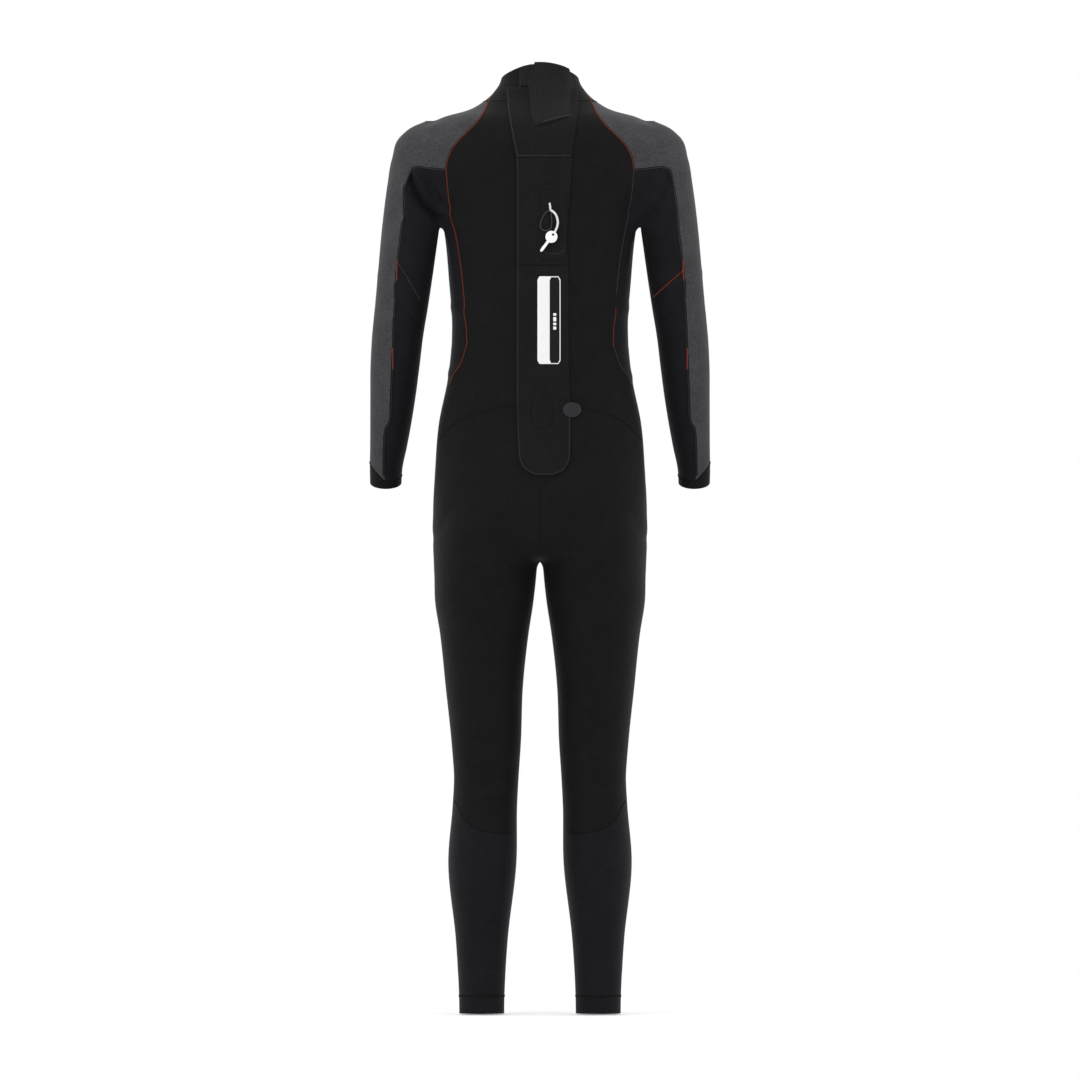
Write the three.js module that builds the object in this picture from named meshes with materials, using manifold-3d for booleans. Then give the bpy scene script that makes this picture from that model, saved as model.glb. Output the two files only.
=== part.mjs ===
// Full-length wetsuit with a back zip, turned inside out and filled out as if worn.
// Millimetres, +Z up. The zip side faces -Y, the chest faces +Y. The wearer's left is at -X.
// Every panel is a 3 mm sheet of neoprene. Neighbours meet at seams with a small gap.

import * as THREE from 'three';
import { mergeVertices } from 'three/addons/utils/BufferGeometryUtils.js';
import Module from 'manifold-3d';

const wasm = await Module();
wasm.setup();

// ---- driving dimensions ----

const SHEET = 3;             // neoprene sheet
const SEAM_GAP = 0.3;        // clearance between neighbouring panels
const FAR = 400;             // half-size of cutting tools, beyond the suit on every side
const PAST = 20;             // how far a short tool runs past an open end

const COLLAR_TOP = 1500;     // highest point, at the nape
const COLLAR_SEAM = 1441;    // collar to body
const COLLAR_SLOPE = 0.32;   // how fast the collar's top edge falls from nape to throat
const NAPE_Y = 67;           // the closing tab's outer face at the nape, from the middle
const ARMPIT = 1247;
const SLEEVE_BEND = 1165;    // below this the upper sleeve swings as one
const ELBOW_TOP = 1115;
const ELBOW_BOTTOM = 1025;
const CUFF_SEAM = 852;
const CUFF_END = 839;        // at the middle of the wrist
const CUFF_SLOPE = 0.42;     // the wrist leans forward, so the cuff's back edge is lower
const WRIST_Y = 69;          // how far forward the middle of the wrist is
const ARM_INSIDE = 157;      // upper arms are further out than this
const HAND_INSIDE = 190;     // and forearms than this
const ARM_REACH = 300;       // nothing is further out than this
const ARM_LOW = 700;         // and the sleeves stay between these heights
const CUFF_HIGH = 900;
const CROTCH = 715;
const HIP_REACH = 240;       // hips and legs stay within this
const SIDE_END = 972;        // the side seam and the yoke seam leave the back at these heights
const YOKE_END = 892;
const YOKE_TOP = 963;        // the yoke seam's height at the middle
const FLANK_INSIDE = 152;    // the underarm cloth's edge below the armpit
const FLANK_TOP = 1150;
const THIGH_BEND = 600;
const KNEE_TOP = 430;
const KNEE_BOTTOM = 330;
const HEM_SEAM = 28;

const SLOT_HALF = 14;        // half the back opening that the zip closes
const SLOT_BOTTOM = 930;
const SLOT_DEEP = -20;       // the opening is cut in from the back as far as here
const ZIP_BOTTOM = 931;
const ZIP_TOP = 1388;
const ZIP_Y = -104;          // mid-plane of the chain
const SLIDER_TOP = 1368;
const SLIDER_LENGTH = 15;

const FLAP_LIFT = 1.5;       // flap above the back panels
const FLAP_SEWN = 977;       // the flap is sewn on both sides below this
const FLAP_FREE = 1060;      // and swings freely between here
const FLAP_BEND = 1290;      // and here
const FLAP_SEAM = 1350;      // cross seam to the flap's fixed top
const TAB_LIFT = 5;
const TAB_BEND_LOW = 40;     // the tab peels along a line between these two distances,
const TAB_BEND_HIGH = 36;    // at its lower and upper edge
const TAB_ROOT = 61;         // where it grows out of the collar's right end

// Body stations: height, half width, depth to the back, depth to the front, roundness (2 is an ellipse).
const TORSO = [
  [735, 160, 100, 84, 2.2], [752, 168, 115, 92, 2.3], [790, 169, 122, 98, 2.3], [855, 166, 116, 102, 2.3],
  [931, 160, 108, 102, 2.4], [1007, 145, 108, 102, 2.5], [1083, 139, 108, 104, 2.5], [1160, 144, 108, 114, 2.5],
  [ARMPIT, 155, 108, 122, 2.4], [1300, 166, 108, 116, 2.4], [1349, 172, 108, 106, 2.3], [1387, 174, 106, 93, 2.1],
  [1407, 171, 98, 84, 2], [1417, 155, 91, 78, 2], [1424, 121, 85, 73, 2], [COLLAR_SEAM, 91, 73, 64, 2],
  [1462, 68, 65, 59, 2], [1502, 57, 59, 52, 2],
];

// Sleeve stations: height, distance out from the middle, distance forward, half width, half depth.
const SLEEVE = [
  [1409, 168, -4, 12, 10], [1402, 171, -4, 28, 24], [1388, 178, -4, 41, 37], [1350, 189, -4, 46, 50],
  [ARMPIT, 203, -6, 46.5, 55], [SLEEVE_BEND, 213, -5, 43.5, 50], [ELBOW_TOP, 219, -2, 42, 48],
  [1070, 225, 4, 40.5, 45], [ELBOW_BOTTOM, 229, 13, 39, 43], [969, 233, 28, 35.5, 38], [893, 240, 51, 29, 32],
  [863, 243.5, 61, 26, 29], [815, 244, 76, 24.5, 27],
];

// Leg stations: height, distance out, half width, depth to the back, depth to the front.
const LEG = [
  [778, 84, 77, 98, 82], [CROTCH, 86, 82, 98, 84], [653, 88, 78, 91, 82], [THIGH_BEND, 88, 70, 83, 79],
  [515, 88, 61, 72, 74], [KNEE_TOP, 85, 55, 60, 67], [369, 85, 51, 55, 60], [KNEE_BOTTOM, 87, 51, 58, 55],
  [242, 91, 54, 64, 47], [116, 92, 41, 46, 41], [HEM_SEAM, 92, 36, 37, 40], [0, 92, 35.5, 36, 41],
];

// Seams as seen from behind: distance out from the middle, height. Both sides are alike.
const RAGLAN_SEAM = [[78, COLLAR_SEAM + 6], [94, 1409], [134, 1373], [146, 1349], [148, 1331]];
const SHOULDER_HEM = [[148, 1331], [170, 1333], [192, 1336], [205, 1332], [210, 1318], [213, 1285], [217, ARMPIT]];
const SIDE_SEAM = [[148, 1331], [143, 1278], [126, 1199], [116, 1096], [115, 1064], [121, 1033], [134, 1009], [156, 972]];
const SLEEVE_SEAM = [[217, ARMPIT], [220, 1222], [225, 1183], [231, 1064], [235, 969], [236, 932], [246, 924], [247, 850]];
const YOKE_SEAM = [[0, 963], [39, 961], [78, 955], [110, 946], [134, 934], [149, 917], [175, 892]];

const FLAP_LEFT = [[-34, 882], [-36, 906], [-38, 1000], [-37, 1150], [-37, 1349], [-40, 1364], [-45, 1388], [-51, 1420], [-52, 1452]];
const FLAP_RIGHT = [[48, 882], [49, 953], [45, 1000], [45, 1167], [41, 1230], [48, 1300], [50, 1349], [53, 1373], [59, 1417], [62, 1452]];
const FLAP_END = 849;        // bottom of the flap's rounded end
const FLAP_ROUND = 884;      // where the round end starts
const FLAP_MIDDLE = 7;       // the flap's centreline, from the middle of the back
const FLAP_HALF = 41;
const FLAP_TOP = 1450;

// Trim on the back, as outlines or as middle and half sizes: distance from the middle, height.
const ROUND_PATCH = [50, 953, 14.5, 12];
const END_TAB = [[-15, 961], [-15, 930], [-8, 923], [3, 921], [14, 923], [21, 930], [21, 961]];
const POCKET_FOOT = [[-2, 1192], [10, 1189], [24, 1190], [37, 1195]];
const POCKET_SIDE = [[39, 1220], [39, 1260], [38, 1300]];
const POCKET_HEAD = [[26, 1305], [12, 1306], [-2, 1302]];
const LABEL = [[-4, 1028], [-1, 1025], [29, 1025], [32, 1028], [32, 1160], [29, 1163], [-1, 1163], [-4, 1160]];
const TAB_LOWER = [[-20, 1409], [-12, 1401], [5, 1400], [28, 1405], [TAB_BEND_LOW, 1409]];
const TAB_FREE_EDGE = [[-22, 1520], [-22, 1440]];
const TAB_ROOT_FOOT = 1417;
const PADS = [[-14, 1453], [10, 1453], [10, 1477], [-14, 1477]];
const PATCH_THICK = 1.5;
const END_TAB_THICK = 1;
const POCKET_THICK = 2.5;
const LABEL_THICK = 0.8;
const PAD_THICK = 1.9;

// The spare key, drawn with its bow's middle at (0, 0) and its shank straight down, then turned.
const KEY_AT = [18, 1225];
const KEY_TURN = -0.636;
const BOW_RADIUS = 9.5;
const BOW_OPEN = 1.33;       // the bow's outline stops this far short of straight down, in radians
const KEY_SHANK = [[-2.25, -24], [-1.6, -28.6], [1.6, -28.6], [2.25, -24]];
const KEY_HOLE = [0, 4.6, 2];
const KEY_HALF_THICK = 1.2;
const CORD_RADIUS = 1.2;
const LOOP_LINE = [[13, 1268], [6, 1259], [0, 1247], [3, 1238], [9, 1237]];
const CORD_LINE = [[17, 1268], [22, 1260], [27, 1248], [27, 1239], [25.5, 1236]];
const TACK = [12, 18, 1269, 1277];
const TACK_THICK = 1.4;

const LOOKS = {
  black: { color: '#1a1a1a', roughness: 0.85, metalness: 0 },
  flap: { color: '#232323', roughness: 0.85, metalness: 0 },
  collar: { color: '#292828', roughness: 0.85, metalness: 0 },
  grey: { color: '#434346', roughness: 0.9, metalness: 0 },
  blue_black: { color: '#1c1c20', roughness: 0.85, metalness: 0 },
  patch: { color: '#303030', roughness: 0.8, metalness: 0 },
  tape: { color: '#141414', roughness: 0.7, metalness: 0 },
  moulded: { color: '#1b1b1c', roughness: 0.45, metalness: 0 },
  elastic: { color: '#55555a', roughness: 0.8, metalness: 0 },
  white: { color: '#e6e6e6', roughness: 0.5, metalness: 0 },
  label: { color: '#dcdcdc', roughness: 0.7, metalness: 0 },
};

const suit = new THREE.Group();

// ---- joining, cutting and placing ----

function solidOf(geometry) {
  const plain = geometry.index ? geometry.toNonIndexed() : geometry.clone();
  plain.deleteAttribute('normal');
  plain.deleteAttribute('uv');
  const merged = mergeVertices(plain, 1e-4);
  const vertProperties = new Float32Array(merged.attributes.position.array);
  const triVerts = new Uint32Array(merged.index.array);
  return new wasm.Manifold(new wasm.Mesh({ numProp: 3, vertProperties, triVerts }));
}

// The largest connected body of a solid, so that slivers left by a cut are dropped.
function mainBody(solid) {
  const bodies = solid.decompose();
  return bodies.sort((a, b) => b.volume() - a.volume())[0];
}

function addNode(name, solid, look) {
  const mesh = mainBody(solid).getMesh();
  const geometry = new THREE.BufferGeometry();
  geometry.setAttribute('position', new THREE.BufferAttribute(mesh.vertProperties, 3));
  geometry.setIndex(new THREE.BufferAttribute(mesh.triVerts, 1));
  geometry.computeVertexNormals();
  const node = new THREE.Mesh(geometry, new THREE.MeshStandardMaterial(LOOKS[look]));
  node.name = name;
  suit.add(node);
}

// A closed skin over a stack of rings with equal numbers of points, with flat ends.
function loft(rings) {
  const around = rings[0].length;
  const points = rings.flat();
  const bottom = points.length;
  points.push(middleOf(rings[0]), middleOf(rings.at(-1)));
  const faces = [];
  for (let row = 0; row + 1 < rings.length; row += 1) {
    for (let i = 0; i < around; i += 1) {
      const a = row * around + i;
      const b = row * around + (i + 1) % around;
      faces.push(a, b, b + around, a, b + around, a + around);
    }
  }
  const last = (rings.length - 1) * around;
  for (let i = 0; i < around; i += 1) {
    const next = (i + 1) % around;
    faces.push(bottom, next, i, bottom + 1, last + i, last + next);
  }
  const geometry = new THREE.BufferGeometry();
  geometry.setFromPoints(points);
  geometry.setIndex(faces);
  return solidOf(geometry);
}

function middleOf(ring) {
  const sum = ring.reduce((total, point) => total.add(point), new THREE.Vector3());
  return sum.divideScalar(ring.length);
}

// One level ring: rounded oval with its own depth to the back (-Y) and to the front (+Y).
function oval(x, y, z, halfWidth, back, front, roundness, around) {
  const ring = [];
  for (let i = 0; i < around; i += 1) {
    const turn = (2 * Math.PI * i) / around;
    const out = Math.sin(turn);
    const fore = -Math.cos(turn);
    const depth = fore < 0 ? back : front;
    const px = Math.sign(out) * Math.abs(out) ** (2 / roundness) * halfWidth;
    const py = Math.sign(fore) * Math.abs(fore) ** (2 / roundness) * depth;
    ring.push(new THREE.Vector3(x + px, y + py, z));
  }
  return ring;
}

// A plate that runs straight through the suit in Y, with an outline seen from behind.
function plate(outline, near = -FAR, far = FAR) {
  const shape = new THREE.Shape(outline.map(([x, z]) => new THREE.Vector2(x, z)));
  const geometry = new THREE.ExtrudeGeometry(shape, { depth: far - near, bevelEnabled: false });
  geometry.rotateX(Math.PI / 2);
  geometry.translate(0, far, 0);
  return solidOf(geometry);
}

function block(x0, x1, y0, y1, z0, z1) {
  const geometry = new THREE.BoxGeometry(x1 - x0, y1 - y0, z1 - z0);
  geometry.translate((x0 + x1) / 2, (y0 + y1) / 2, (z0 + z1) / 2);
  return solidOf(geometry);
}

// Everything above a plane through (0, 0, height) that rises towards the front by slope.
function above(height, slope, middleY = 0) {
  const geometry = new THREE.BoxGeometry(4 * FAR, 4 * FAR, 2 * FAR);
  geometry.translate(0, 0, FAR);
  geometry.rotateX(Math.atan(slope));
  geometry.translate(0, middleY, height);
  return solidOf(geometry);
}

function smooth(points, steps) {
  const curve = new THREE.SplineCurve(points.map(([x, z]) => new THREE.Vector2(x, z)));
  return curve.getPoints(steps).map((point) => [point.x, point.y]);
}

function onSide(side, points) {
  return points.map(([x, z]) => [side * x, z]);
}

// A seam's narrow gap: a ribbon of even width along a line of points.
function seamCut(points, near = -FAR, far = FAR) {
  const left = [];
  const right = [];
  points.forEach(([x, z], i) => {
    const [xa, za] = points[Math.max(i - 1, 0)];
    const [xb, zb] = points[Math.min(i + 1, points.length - 1)];
    const length = Math.hypot(xb - xa, zb - za);
    const dx = ((zb - za) / length) * (SEAM_GAP / 2);
    const dz = (-(xb - xa) / length) * (SEAM_GAP / 2);
    left.push([x + dx, z + dz]);
    right.unshift([x - dx, z - dz]);
  });
  return plate([...left, ...right], near, far);
}

// ---- the body form ----

const TORSO_AROUND = 22;
const SLEEVE_AROUND = 12;
const LEG_AROUND = 14;

// Where the torso faces up (shoulders) or down (crotch) a thicker or thinner form also moves in height.
function lift(z) {
  if (z > 1340 && z < 1445) return 1;
  return z < 745 ? -1 : 0;
}

function torsoForm(grow) {
  return loft(TORSO.map(([z, halfWidth, back, front, roundness]) => oval(
    0, 0, z + grow * lift(z), halfWidth + grow, back + grow, front + grow, roundness, TORSO_AROUND,
  )));
}

function sleeveForm(side, grow) {
  const rings = SLEEVE.map(([z, x, y, halfWidth, halfDepth]) => oval(
    side * x, y, z + (z > 1380 ? grow : 0), halfWidth + grow, halfDepth + grow, halfDepth + grow, 2, SLEEVE_AROUND,
  ));
  return loft(rings.reverse());
}

function legForm(side, grow) {
  const rings = LEG.map(([z, x, halfWidth, back, front]) => oval(
    side * x, 0, z, halfWidth + grow, back + grow, front + grow, 2.1, LEG_AROUND,
  ));
  return loft(rings.reverse());
}

function fullForm(grow) {
  let form = torsoForm(grow);
  for (const side of [-1, 1]) {
    form = form.add(sleeveForm(side, grow));
    form = form.add(legForm(side, grow));
  }
  return form;
}

// The cavity runs on past the neck, cuffs and hems, so that they stay open.
function cavity() {
  let inside = fullForm(-SHEET);
  const [, neckWidth, neckBack, neckFront] = TORSO.at(-1);
  const neck = [COLLAR_TOP - SHEET, COLLAR_TOP + 2 * PAST].map((z) => oval(
    0, 0, z, neckWidth - SHEET, neckBack - SHEET, neckFront - SHEET, 2, TORSO_AROUND,
  ));
  inside = inside.add(loft(neck));
  for (const side of [-1, 1]) {
    const [, x, halfWidth, back, front] = LEG.at(-1);
    const hem = [-PAST, 1].map((z) => oval(
      side * x, 0, z, halfWidth - SHEET, back - SHEET, front - SHEET, 2.1, LEG_AROUND,
    ));
    inside = inside.add(loft(hem));
  }
  return inside;
}

function suitShell() {
  let shell = fullForm(0).subtract(cavity());
  shell = shell.subtract(above(COLLAR_TOP - COLLAR_SLOPE * NAPE_Y, -COLLAR_SLOPE));
  const leftHand = block(-FAR, -HAND_INSIDE, -FAR, FAR, ARM_LOW, CUFF_HIGH);
  const hands = leftHand.add(block(HAND_INSIDE, FAR, -FAR, FAR, ARM_LOW, CUFF_HIGH));
  shell = shell.subtract(hands.subtract(above(CUFF_END, CUFF_SLOPE, WRIST_Y)));
  return shell.subtract(block(-SLOT_HALF, SLOT_HALF, -FAR, SLOT_DEEP, SLOT_BOTTOM, COLLAR_TOP + PAST));
}

const shell = suitShell();

// The panel of the shell inside an outline, on the back half, the front half or both.
function panel(outline, near = -FAR, far = FAR) {
  return shell.intersect(plate(outline, near, far));
}

const HALF_GAP = SEAM_GAP / 2;

// ---- torso ----

function addTorso() {
  const raglan = smooth(RAGLAN_SEAM, 10);
  const side = smooth(SIDE_SEAM, 14);
  const hem = smooth(SHOULDER_HEM, 12);
  const yoke = smooth(YOKE_SEAM, 10);
  const names = { '-1': 'left', 1: 'right' };
  for (const hand of [-1, 1]) {
    const mirror = (points) => onSide(hand, points);
    const cuts = seamCut(mirror(raglan)).add(seamCut(mirror(side)));
    const hemCut = seamCut(mirror(hem));
    const yokeCut = seamCut(mirror(yoke));
    const back = panel(mirror([
      [SLOT_HALF, COLLAR_SEAM - HALF_GAP], [raglan[0][0], COLLAR_SEAM - HALF_GAP], ...raglan.slice(1), ...side.slice(1),
      [HIP_REACH, SIDE_END], [HIP_REACH, YOKE_END], ...[...yoke].reverse().slice(0, -1), [SLOT_HALF, YOKE_TOP],
    ]), -FAR, -HALF_GAP);
    addNode(`${names[hand]}_back_panel`, back.subtract(cuts).subtract(yokeCut), 'black');
    const flank = panel(mirror([
      ...side, [FLANK_INSIDE, SIDE_END + PAST], [FLANK_INSIDE, FLANK_TOP], [ARM_INSIDE, ARMPIT - PAST],
      [ARM_INSIDE, ARMPIT + HALF_GAP], [hem.at(-1)[0], ARMPIT + HALF_GAP],
      ...[...hem].reverse().slice(1, -1),
    ]));
    addNode(`${names[hand]}_side_panel`, flank.subtract(cuts).subtract(hemCut), 'blue_black');
    const shoulder = panel(mirror([
      [raglan[0][0], COLLAR_SEAM - HALF_GAP], ...raglan.slice(1), ...hem.slice(1, -1),
      [hem.at(-1)[0], ARMPIT + HALF_GAP], [ARM_REACH, ARMPIT + HALF_GAP], [ARM_REACH, COLLAR_SEAM - HALF_GAP],
    ]));
    addNode(`${names[hand]}_shoulder_panel`, shoulder.subtract(cuts).subtract(hemCut), 'grey');
    const hip = mirror([
      [HALF_GAP, CROTCH + HALF_GAP], [HIP_REACH, CROTCH + HALF_GAP], [HIP_REACH, YOKE_END],
      ...[...yoke].reverse().slice(0, -1), [HALF_GAP, YOKE_TOP],
    ]);
    addNode(`${names[hand]}_seat_panel`, panel(hip, -FAR, -HALF_GAP).subtract(yokeCut), 'black');
    addNode(`${names[hand]}_front_hip_panel`, panel(hip, HALF_GAP, FAR).subtract(yokeCut), 'black');
  }
  const right = [[raglan[0][0], COLLAR_SEAM - HALF_GAP], ...raglan.slice(1), ...side.slice(1)];
  const low = [[HIP_REACH, SIDE_END], [HIP_REACH, YOKE_END], ...[...yoke].reverse()];
  const half = [...right, ...low];
  const outline = [...half, ...onSide(-1, half).reverse().slice(1)];
  let chest = panel(outline, HALF_GAP, FAR);
  for (const hand of [-1, 1]) {
    chest = chest.subtract(seamCut(onSide(hand, raglan)));
    chest = chest.subtract(seamCut(onSide(hand, side)));
    chest = chest.subtract(seamCut(onSide(hand, yoke)));
  }
  addNode('chest_panel', chest, 'black');
}

function addCollar() {
  const band = shell.intersect(block(-FAR, FAR, -FAR, FAR, COLLAR_SEAM + HALF_GAP, COLLAR_TOP + PAST));
  addNode('collar_band', band, 'collar');
}

// ---- sleeves and legs ----

function tube(side, low, high) {
  const limits = [side * (low > CUFF_SEAM ? ARM_INSIDE : HAND_INSIDE), side * ARM_REACH].sort((a, b) => a - b);
  return shell.intersect(block(...limits, -FAR, FAR, low + HALF_GAP, high - HALF_GAP));
}

function addSleeve(side, name) {
  const seam = onSide(side, smooth(SLEEVE_SEAM, 16));
  const foot = [seam.at(-1)[0], ARM_LOW];
  const cut = seamCut([...seam, foot]);
  const outerPlate = plate([...seam, foot, [side * ARM_REACH, ARM_LOW], [side * ARM_REACH, ARMPIT]]);
  addNode(`${name}_sleeve_top`, tube(side, SLEEVE_BEND, ARMPIT), 'grey');
  addNode(`${name}_upper_sleeve`, tube(side, ELBOW_TOP, SLEEVE_BEND), 'grey');
  addNode(`${name}_elbow`, tube(side, ELBOW_BOTTOM, ELBOW_TOP), 'grey');
  const whole = tube(side, ARM_LOW, ELBOW_BOTTOM).intersect(above(CUFF_SEAM + HALF_GAP, CUFF_SLOPE, WRIST_Y));
  const forearm = whole.subtract(cut);
  addNode(`${name}_forearm_outer`, forearm.intersect(outerPlate), 'grey');
  addNode(`${name}_forearm_inner`, forearm.subtract(outerPlate), 'blue_black');
  const cuff = tube(side, ARM_LOW, CUFF_HIGH).subtract(above(CUFF_SEAM - HALF_GAP, CUFF_SLOPE, WRIST_Y));
  addNode(`${name}_cuff`, cuff, 'black');
}

function legTube(side, low, high, near = -FAR, far = FAR) {
  const limits = [0, side * HIP_REACH].sort((a, b) => a - b);
  return shell.intersect(block(limits[0], limits[1], near, far, low, high));
}

function addLeg(side, name) {
  addNode(`${name}_thigh_top`, legTube(side, THIGH_BEND + HALF_GAP, CROTCH - HALF_GAP), 'black');
  addNode(`${name}_knee`, legTube(side, KNEE_BOTTOM + HALF_GAP, KNEE_TOP - HALF_GAP), 'black');
  const levels = [
    ['thigh_back', KNEE_TOP, THIGH_BEND, -FAR, -HALF_GAP, 'black'],
    ['thigh_front', KNEE_TOP, THIGH_BEND, HALF_GAP, FAR, 'black'],
    ['calf_panel', HEM_SEAM, KNEE_BOTTOM, -FAR, -HALF_GAP, 'blue_black'],
    ['shin_panel', HEM_SEAM, KNEE_BOTTOM, HALF_GAP, FAR, 'black'],
  ];
  for (const [part, low, high, near, far, look] of levels) {
    addNode(`${name}_${part}`, legTube(side, low + HALF_GAP, high - HALF_GAP, near, far), look);
  }
  addNode(`${name}_ankle_hem`, legTube(side, -1, HEM_SEAM - HALF_GAP), 'black');
}

// ---- zip ----

function extrudeUp(outline, z0, z1) {
  const shape = new THREE.Shape(outline.map(([x, y]) => new THREE.Vector2(x, y)));
  const geometry = new THREE.ExtrudeGeometry(shape, { depth: z1 - z0, bevelEnabled: false });
  geometry.translate(0, 0, z0);
  return solidOf(geometry);
}

// One side's woven tape with its moulded coil as a bead along the inner edge.
function addZipTape(side, name) {
  const tapeEdge = SLOT_HALF - SEAM_GAP;
  const outline = [
    [1.3, -1.5], [3.2, -1.5], [3.2, -0.5], [tapeEdge, -0.5], [tapeEdge, 0.5], [3.2, 0.5], [3.2, 1.5], [1.3, 1.5],
  ];
  const placed = outline.map(([x, y]) => [side * x, y + ZIP_Y]);
  addNode(`${name}_zip_tape`, extrudeUp(placed, ZIP_BOTTOM, ZIP_TOP), 'tape');
}

// The slider: two plates joined by a post that runs between the coils, with two ears for the puller.
function addSlider() {
  const outline = [
    [-5, -3.4], [5, -3.4], [5, -2], [0.8, -2], [0.8, 2], [5, 2], [5, 3.4], [-5, 3.4], [-5, 2], [-0.8, 2],
    [-0.8, -2], [-5, -2],
  ];
  const placed = outline.map(([x, y]) => [x, y + ZIP_Y]);
  let slider = extrudeUp(placed, SLIDER_TOP - SLIDER_LENGTH, SLIDER_TOP);
  for (const side of [-1, 1]) {
    const x = [side * 3, side * 5].sort((a, b) => a - b);
    slider = slider.add(block(x[0], x[1], ZIP_Y + 3, ZIP_Y + 8, SLIDER_TOP - 8, SLIDER_TOP - 1));
  }
  addNode('zip_slider', slider, 'moulded');
}

// The puller hangs from a cross bar between the slider's ears, on the suit's outer face.
function addPuller() {
  const pivotY = ZIP_Y + 5.9;
  const pivotZ = SLIDER_TOP - 4.5;
  const bar = new THREE.CylinderGeometry(1.4, 1.4, 5.2, 12);
  bar.rotateZ(Math.PI / 2);
  bar.translate(0, pivotY, pivotZ);
  const outline = [[-2.2, pivotZ], [-2.6, pivotZ - 8], [-4.5, pivotZ - 14], [-4.5, pivotZ - 30], [-3, pivotZ - 34],
    [3, pivotZ - 34], [4.5, pivotZ - 30], [4.5, pivotZ - 14], [2.6, pivotZ - 8], [2.2, pivotZ]];
  addNode('zip_puller', solidOf(bar).add(plate(outline, pivotY - 0.9, pivotY + 0.9)), 'moulded');
}

// ---- flap, patch, end tab and collar tab ----

function skin(outline, low, high) {
  const layer = torsoForm(high).subtract(torsoForm(low));
  return layer.intersect(plate(outline, -FAR, SLOT_DEEP));
}

function flapOutline(low, high) {
  const left = smooth(FLAP_LEFT, 24).filter(([, z]) => z > low && z < high);
  const right = smooth(FLAP_RIGHT, 24).filter(([, z]) => z > low && z < high);
  const xLeft = edgeAt(FLAP_LEFT);
  const xRight = edgeAt(FLAP_RIGHT);
  return [[xLeft(low), low], [xRight(low), low], ...right, [xRight(high), high], [xLeft(high), high], ...left.reverse()];
}

// A seam's distance from the middle at a height, by straight steps between its points.
function edgeAt(points) {
  const line = smooth(points, 24);
  return (z) => {
    const next = line.findIndex((point) => point[1] >= z);
    if (next <= 0) return next === 0 ? line[0][0] : line.at(-1)[0];
    const [xa, za] = line[next - 1];
    const [xb, zb] = line[next];
    return xa + ((xb - xa) * (z - za)) / (zb - za);
  };
}

function addFlap() {
  const end = new THREE.EllipseCurve(
    FLAP_MIDDLE, FLAP_ROUND, FLAP_HALF, FLAP_ROUND - FLAP_END, Math.PI, 2 * Math.PI,
  );
  const endPoints = end.getPoints(10).map((point) => [point.x, point.y]);
  const base = flapOutline(FLAP_ROUND, FLAP_SEWN - HALF_GAP).slice(2);
  const layers = [FLAP_LIFT, FLAP_LIFT + SHEET];
  addNode('flap_base', skin([...endPoints, ...base], ...layers), 'flap');
  addNode('flap_lower_fold', skin(flapOutline(FLAP_SEWN + HALF_GAP, FLAP_FREE - HALF_GAP), ...layers), 'flap');
  addNode('back_flap', skin(flapOutline(FLAP_FREE + HALF_GAP, FLAP_BEND - HALF_GAP), ...layers), 'flap');
  addNode('flap_upper_fold', skin(flapOutline(FLAP_BEND + HALF_GAP, FLAP_SEAM - HALF_GAP), ...layers), 'flap');
  addNode('flap_top', skin(flapOutline(FLAP_SEAM + HALF_GAP, FLAP_TOP), ...layers), 'flap');
}

// Small flat pieces sewn on the flap's face: an outline between two distances above the body form.
const ON_FLAP = FLAP_LIFT + SHEET + SEAM_GAP;

function onFlap(outline, thick) {
  return skin(outline, ON_FLAP, ON_FLAP + thick);
}

function addTrim() {
  const round = new THREE.EllipseCurve(...ROUND_PATCH, 0, 2 * Math.PI).getPoints(16).slice(1);
  addNode('round_patch', onFlap(round.map((point) => [point.x, point.y]), PATCH_THICK), 'patch');
  addNode('zip_end_tab', onFlap(END_TAB, END_TAB_THICK), 'flap');
  const pocket = [...smooth(POCKET_FOOT, 6), ...smooth(POCKET_SIDE, 6), ...smooth(POCKET_HEAD, 5)];
  addNode('key_pocket', onFlap(pocket, POCKET_THICK), 'flap');
  addNode('name_label', onFlap(LABEL, LABEL_THICK), 'label');
}

function addCollarTab() {
  const free = [...smooth(TAB_LOWER, 8), [TAB_BEND_HIGH, TAB_FREE_EDGE[0][1]], ...TAB_FREE_EDGE];
  const root = [
    [TAB_BEND_LOW + SEAM_GAP, TAB_LOWER.at(-1)[1]], [TAB_ROOT, TAB_ROOT_FOOT], [TAB_ROOT, TAB_FREE_EDGE[0][1]],
    [TAB_BEND_HIGH + SEAM_GAP, TAB_FREE_EDGE[0][1]],
  ];
  const top = above(COLLAR_TOP - COLLAR_SLOPE * NAPE_Y, -COLLAR_SLOPE);
  addNode('collar_tab', skin(free, TAB_LIFT, TAB_LIFT + SHEET).subtract(top), 'collar');
  addNode('collar_tab_fold', skin(root, TAB_LIFT, TAB_LIFT + SHEET).subtract(top), 'collar');
  addNode('hook_pad', skin(PADS, SEAM_GAP, SEAM_GAP + PAD_THICK), 'moulded');
  addNode('loop_pad', skin(PADS, 2 * SEAM_GAP + PAD_THICK, TAB_LIFT - SEAM_GAP), 'moulded');
}

// ---- key loop ----

const POCKET_FACE = -108 - ON_FLAP - POCKET_THICK;
const LOOP_Y = POCKET_FACE - 3.7;

function cordAlong(line, steps) {
  const ring = new THREE.Shape();
  ring.absarc(0, 0, CORD_RADIUS, 0, 2 * Math.PI);
  const path = new THREE.CatmullRomCurve3(line.map(([x, z]) => new THREE.Vector3(x, LOOP_Y, z)));
  const outline = new THREE.Shape(ring.getPoints(2));
  return solidOf(new THREE.ExtrudeGeometry(outline, { extrudePath: path, steps, bevelEnabled: false }));
}

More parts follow.
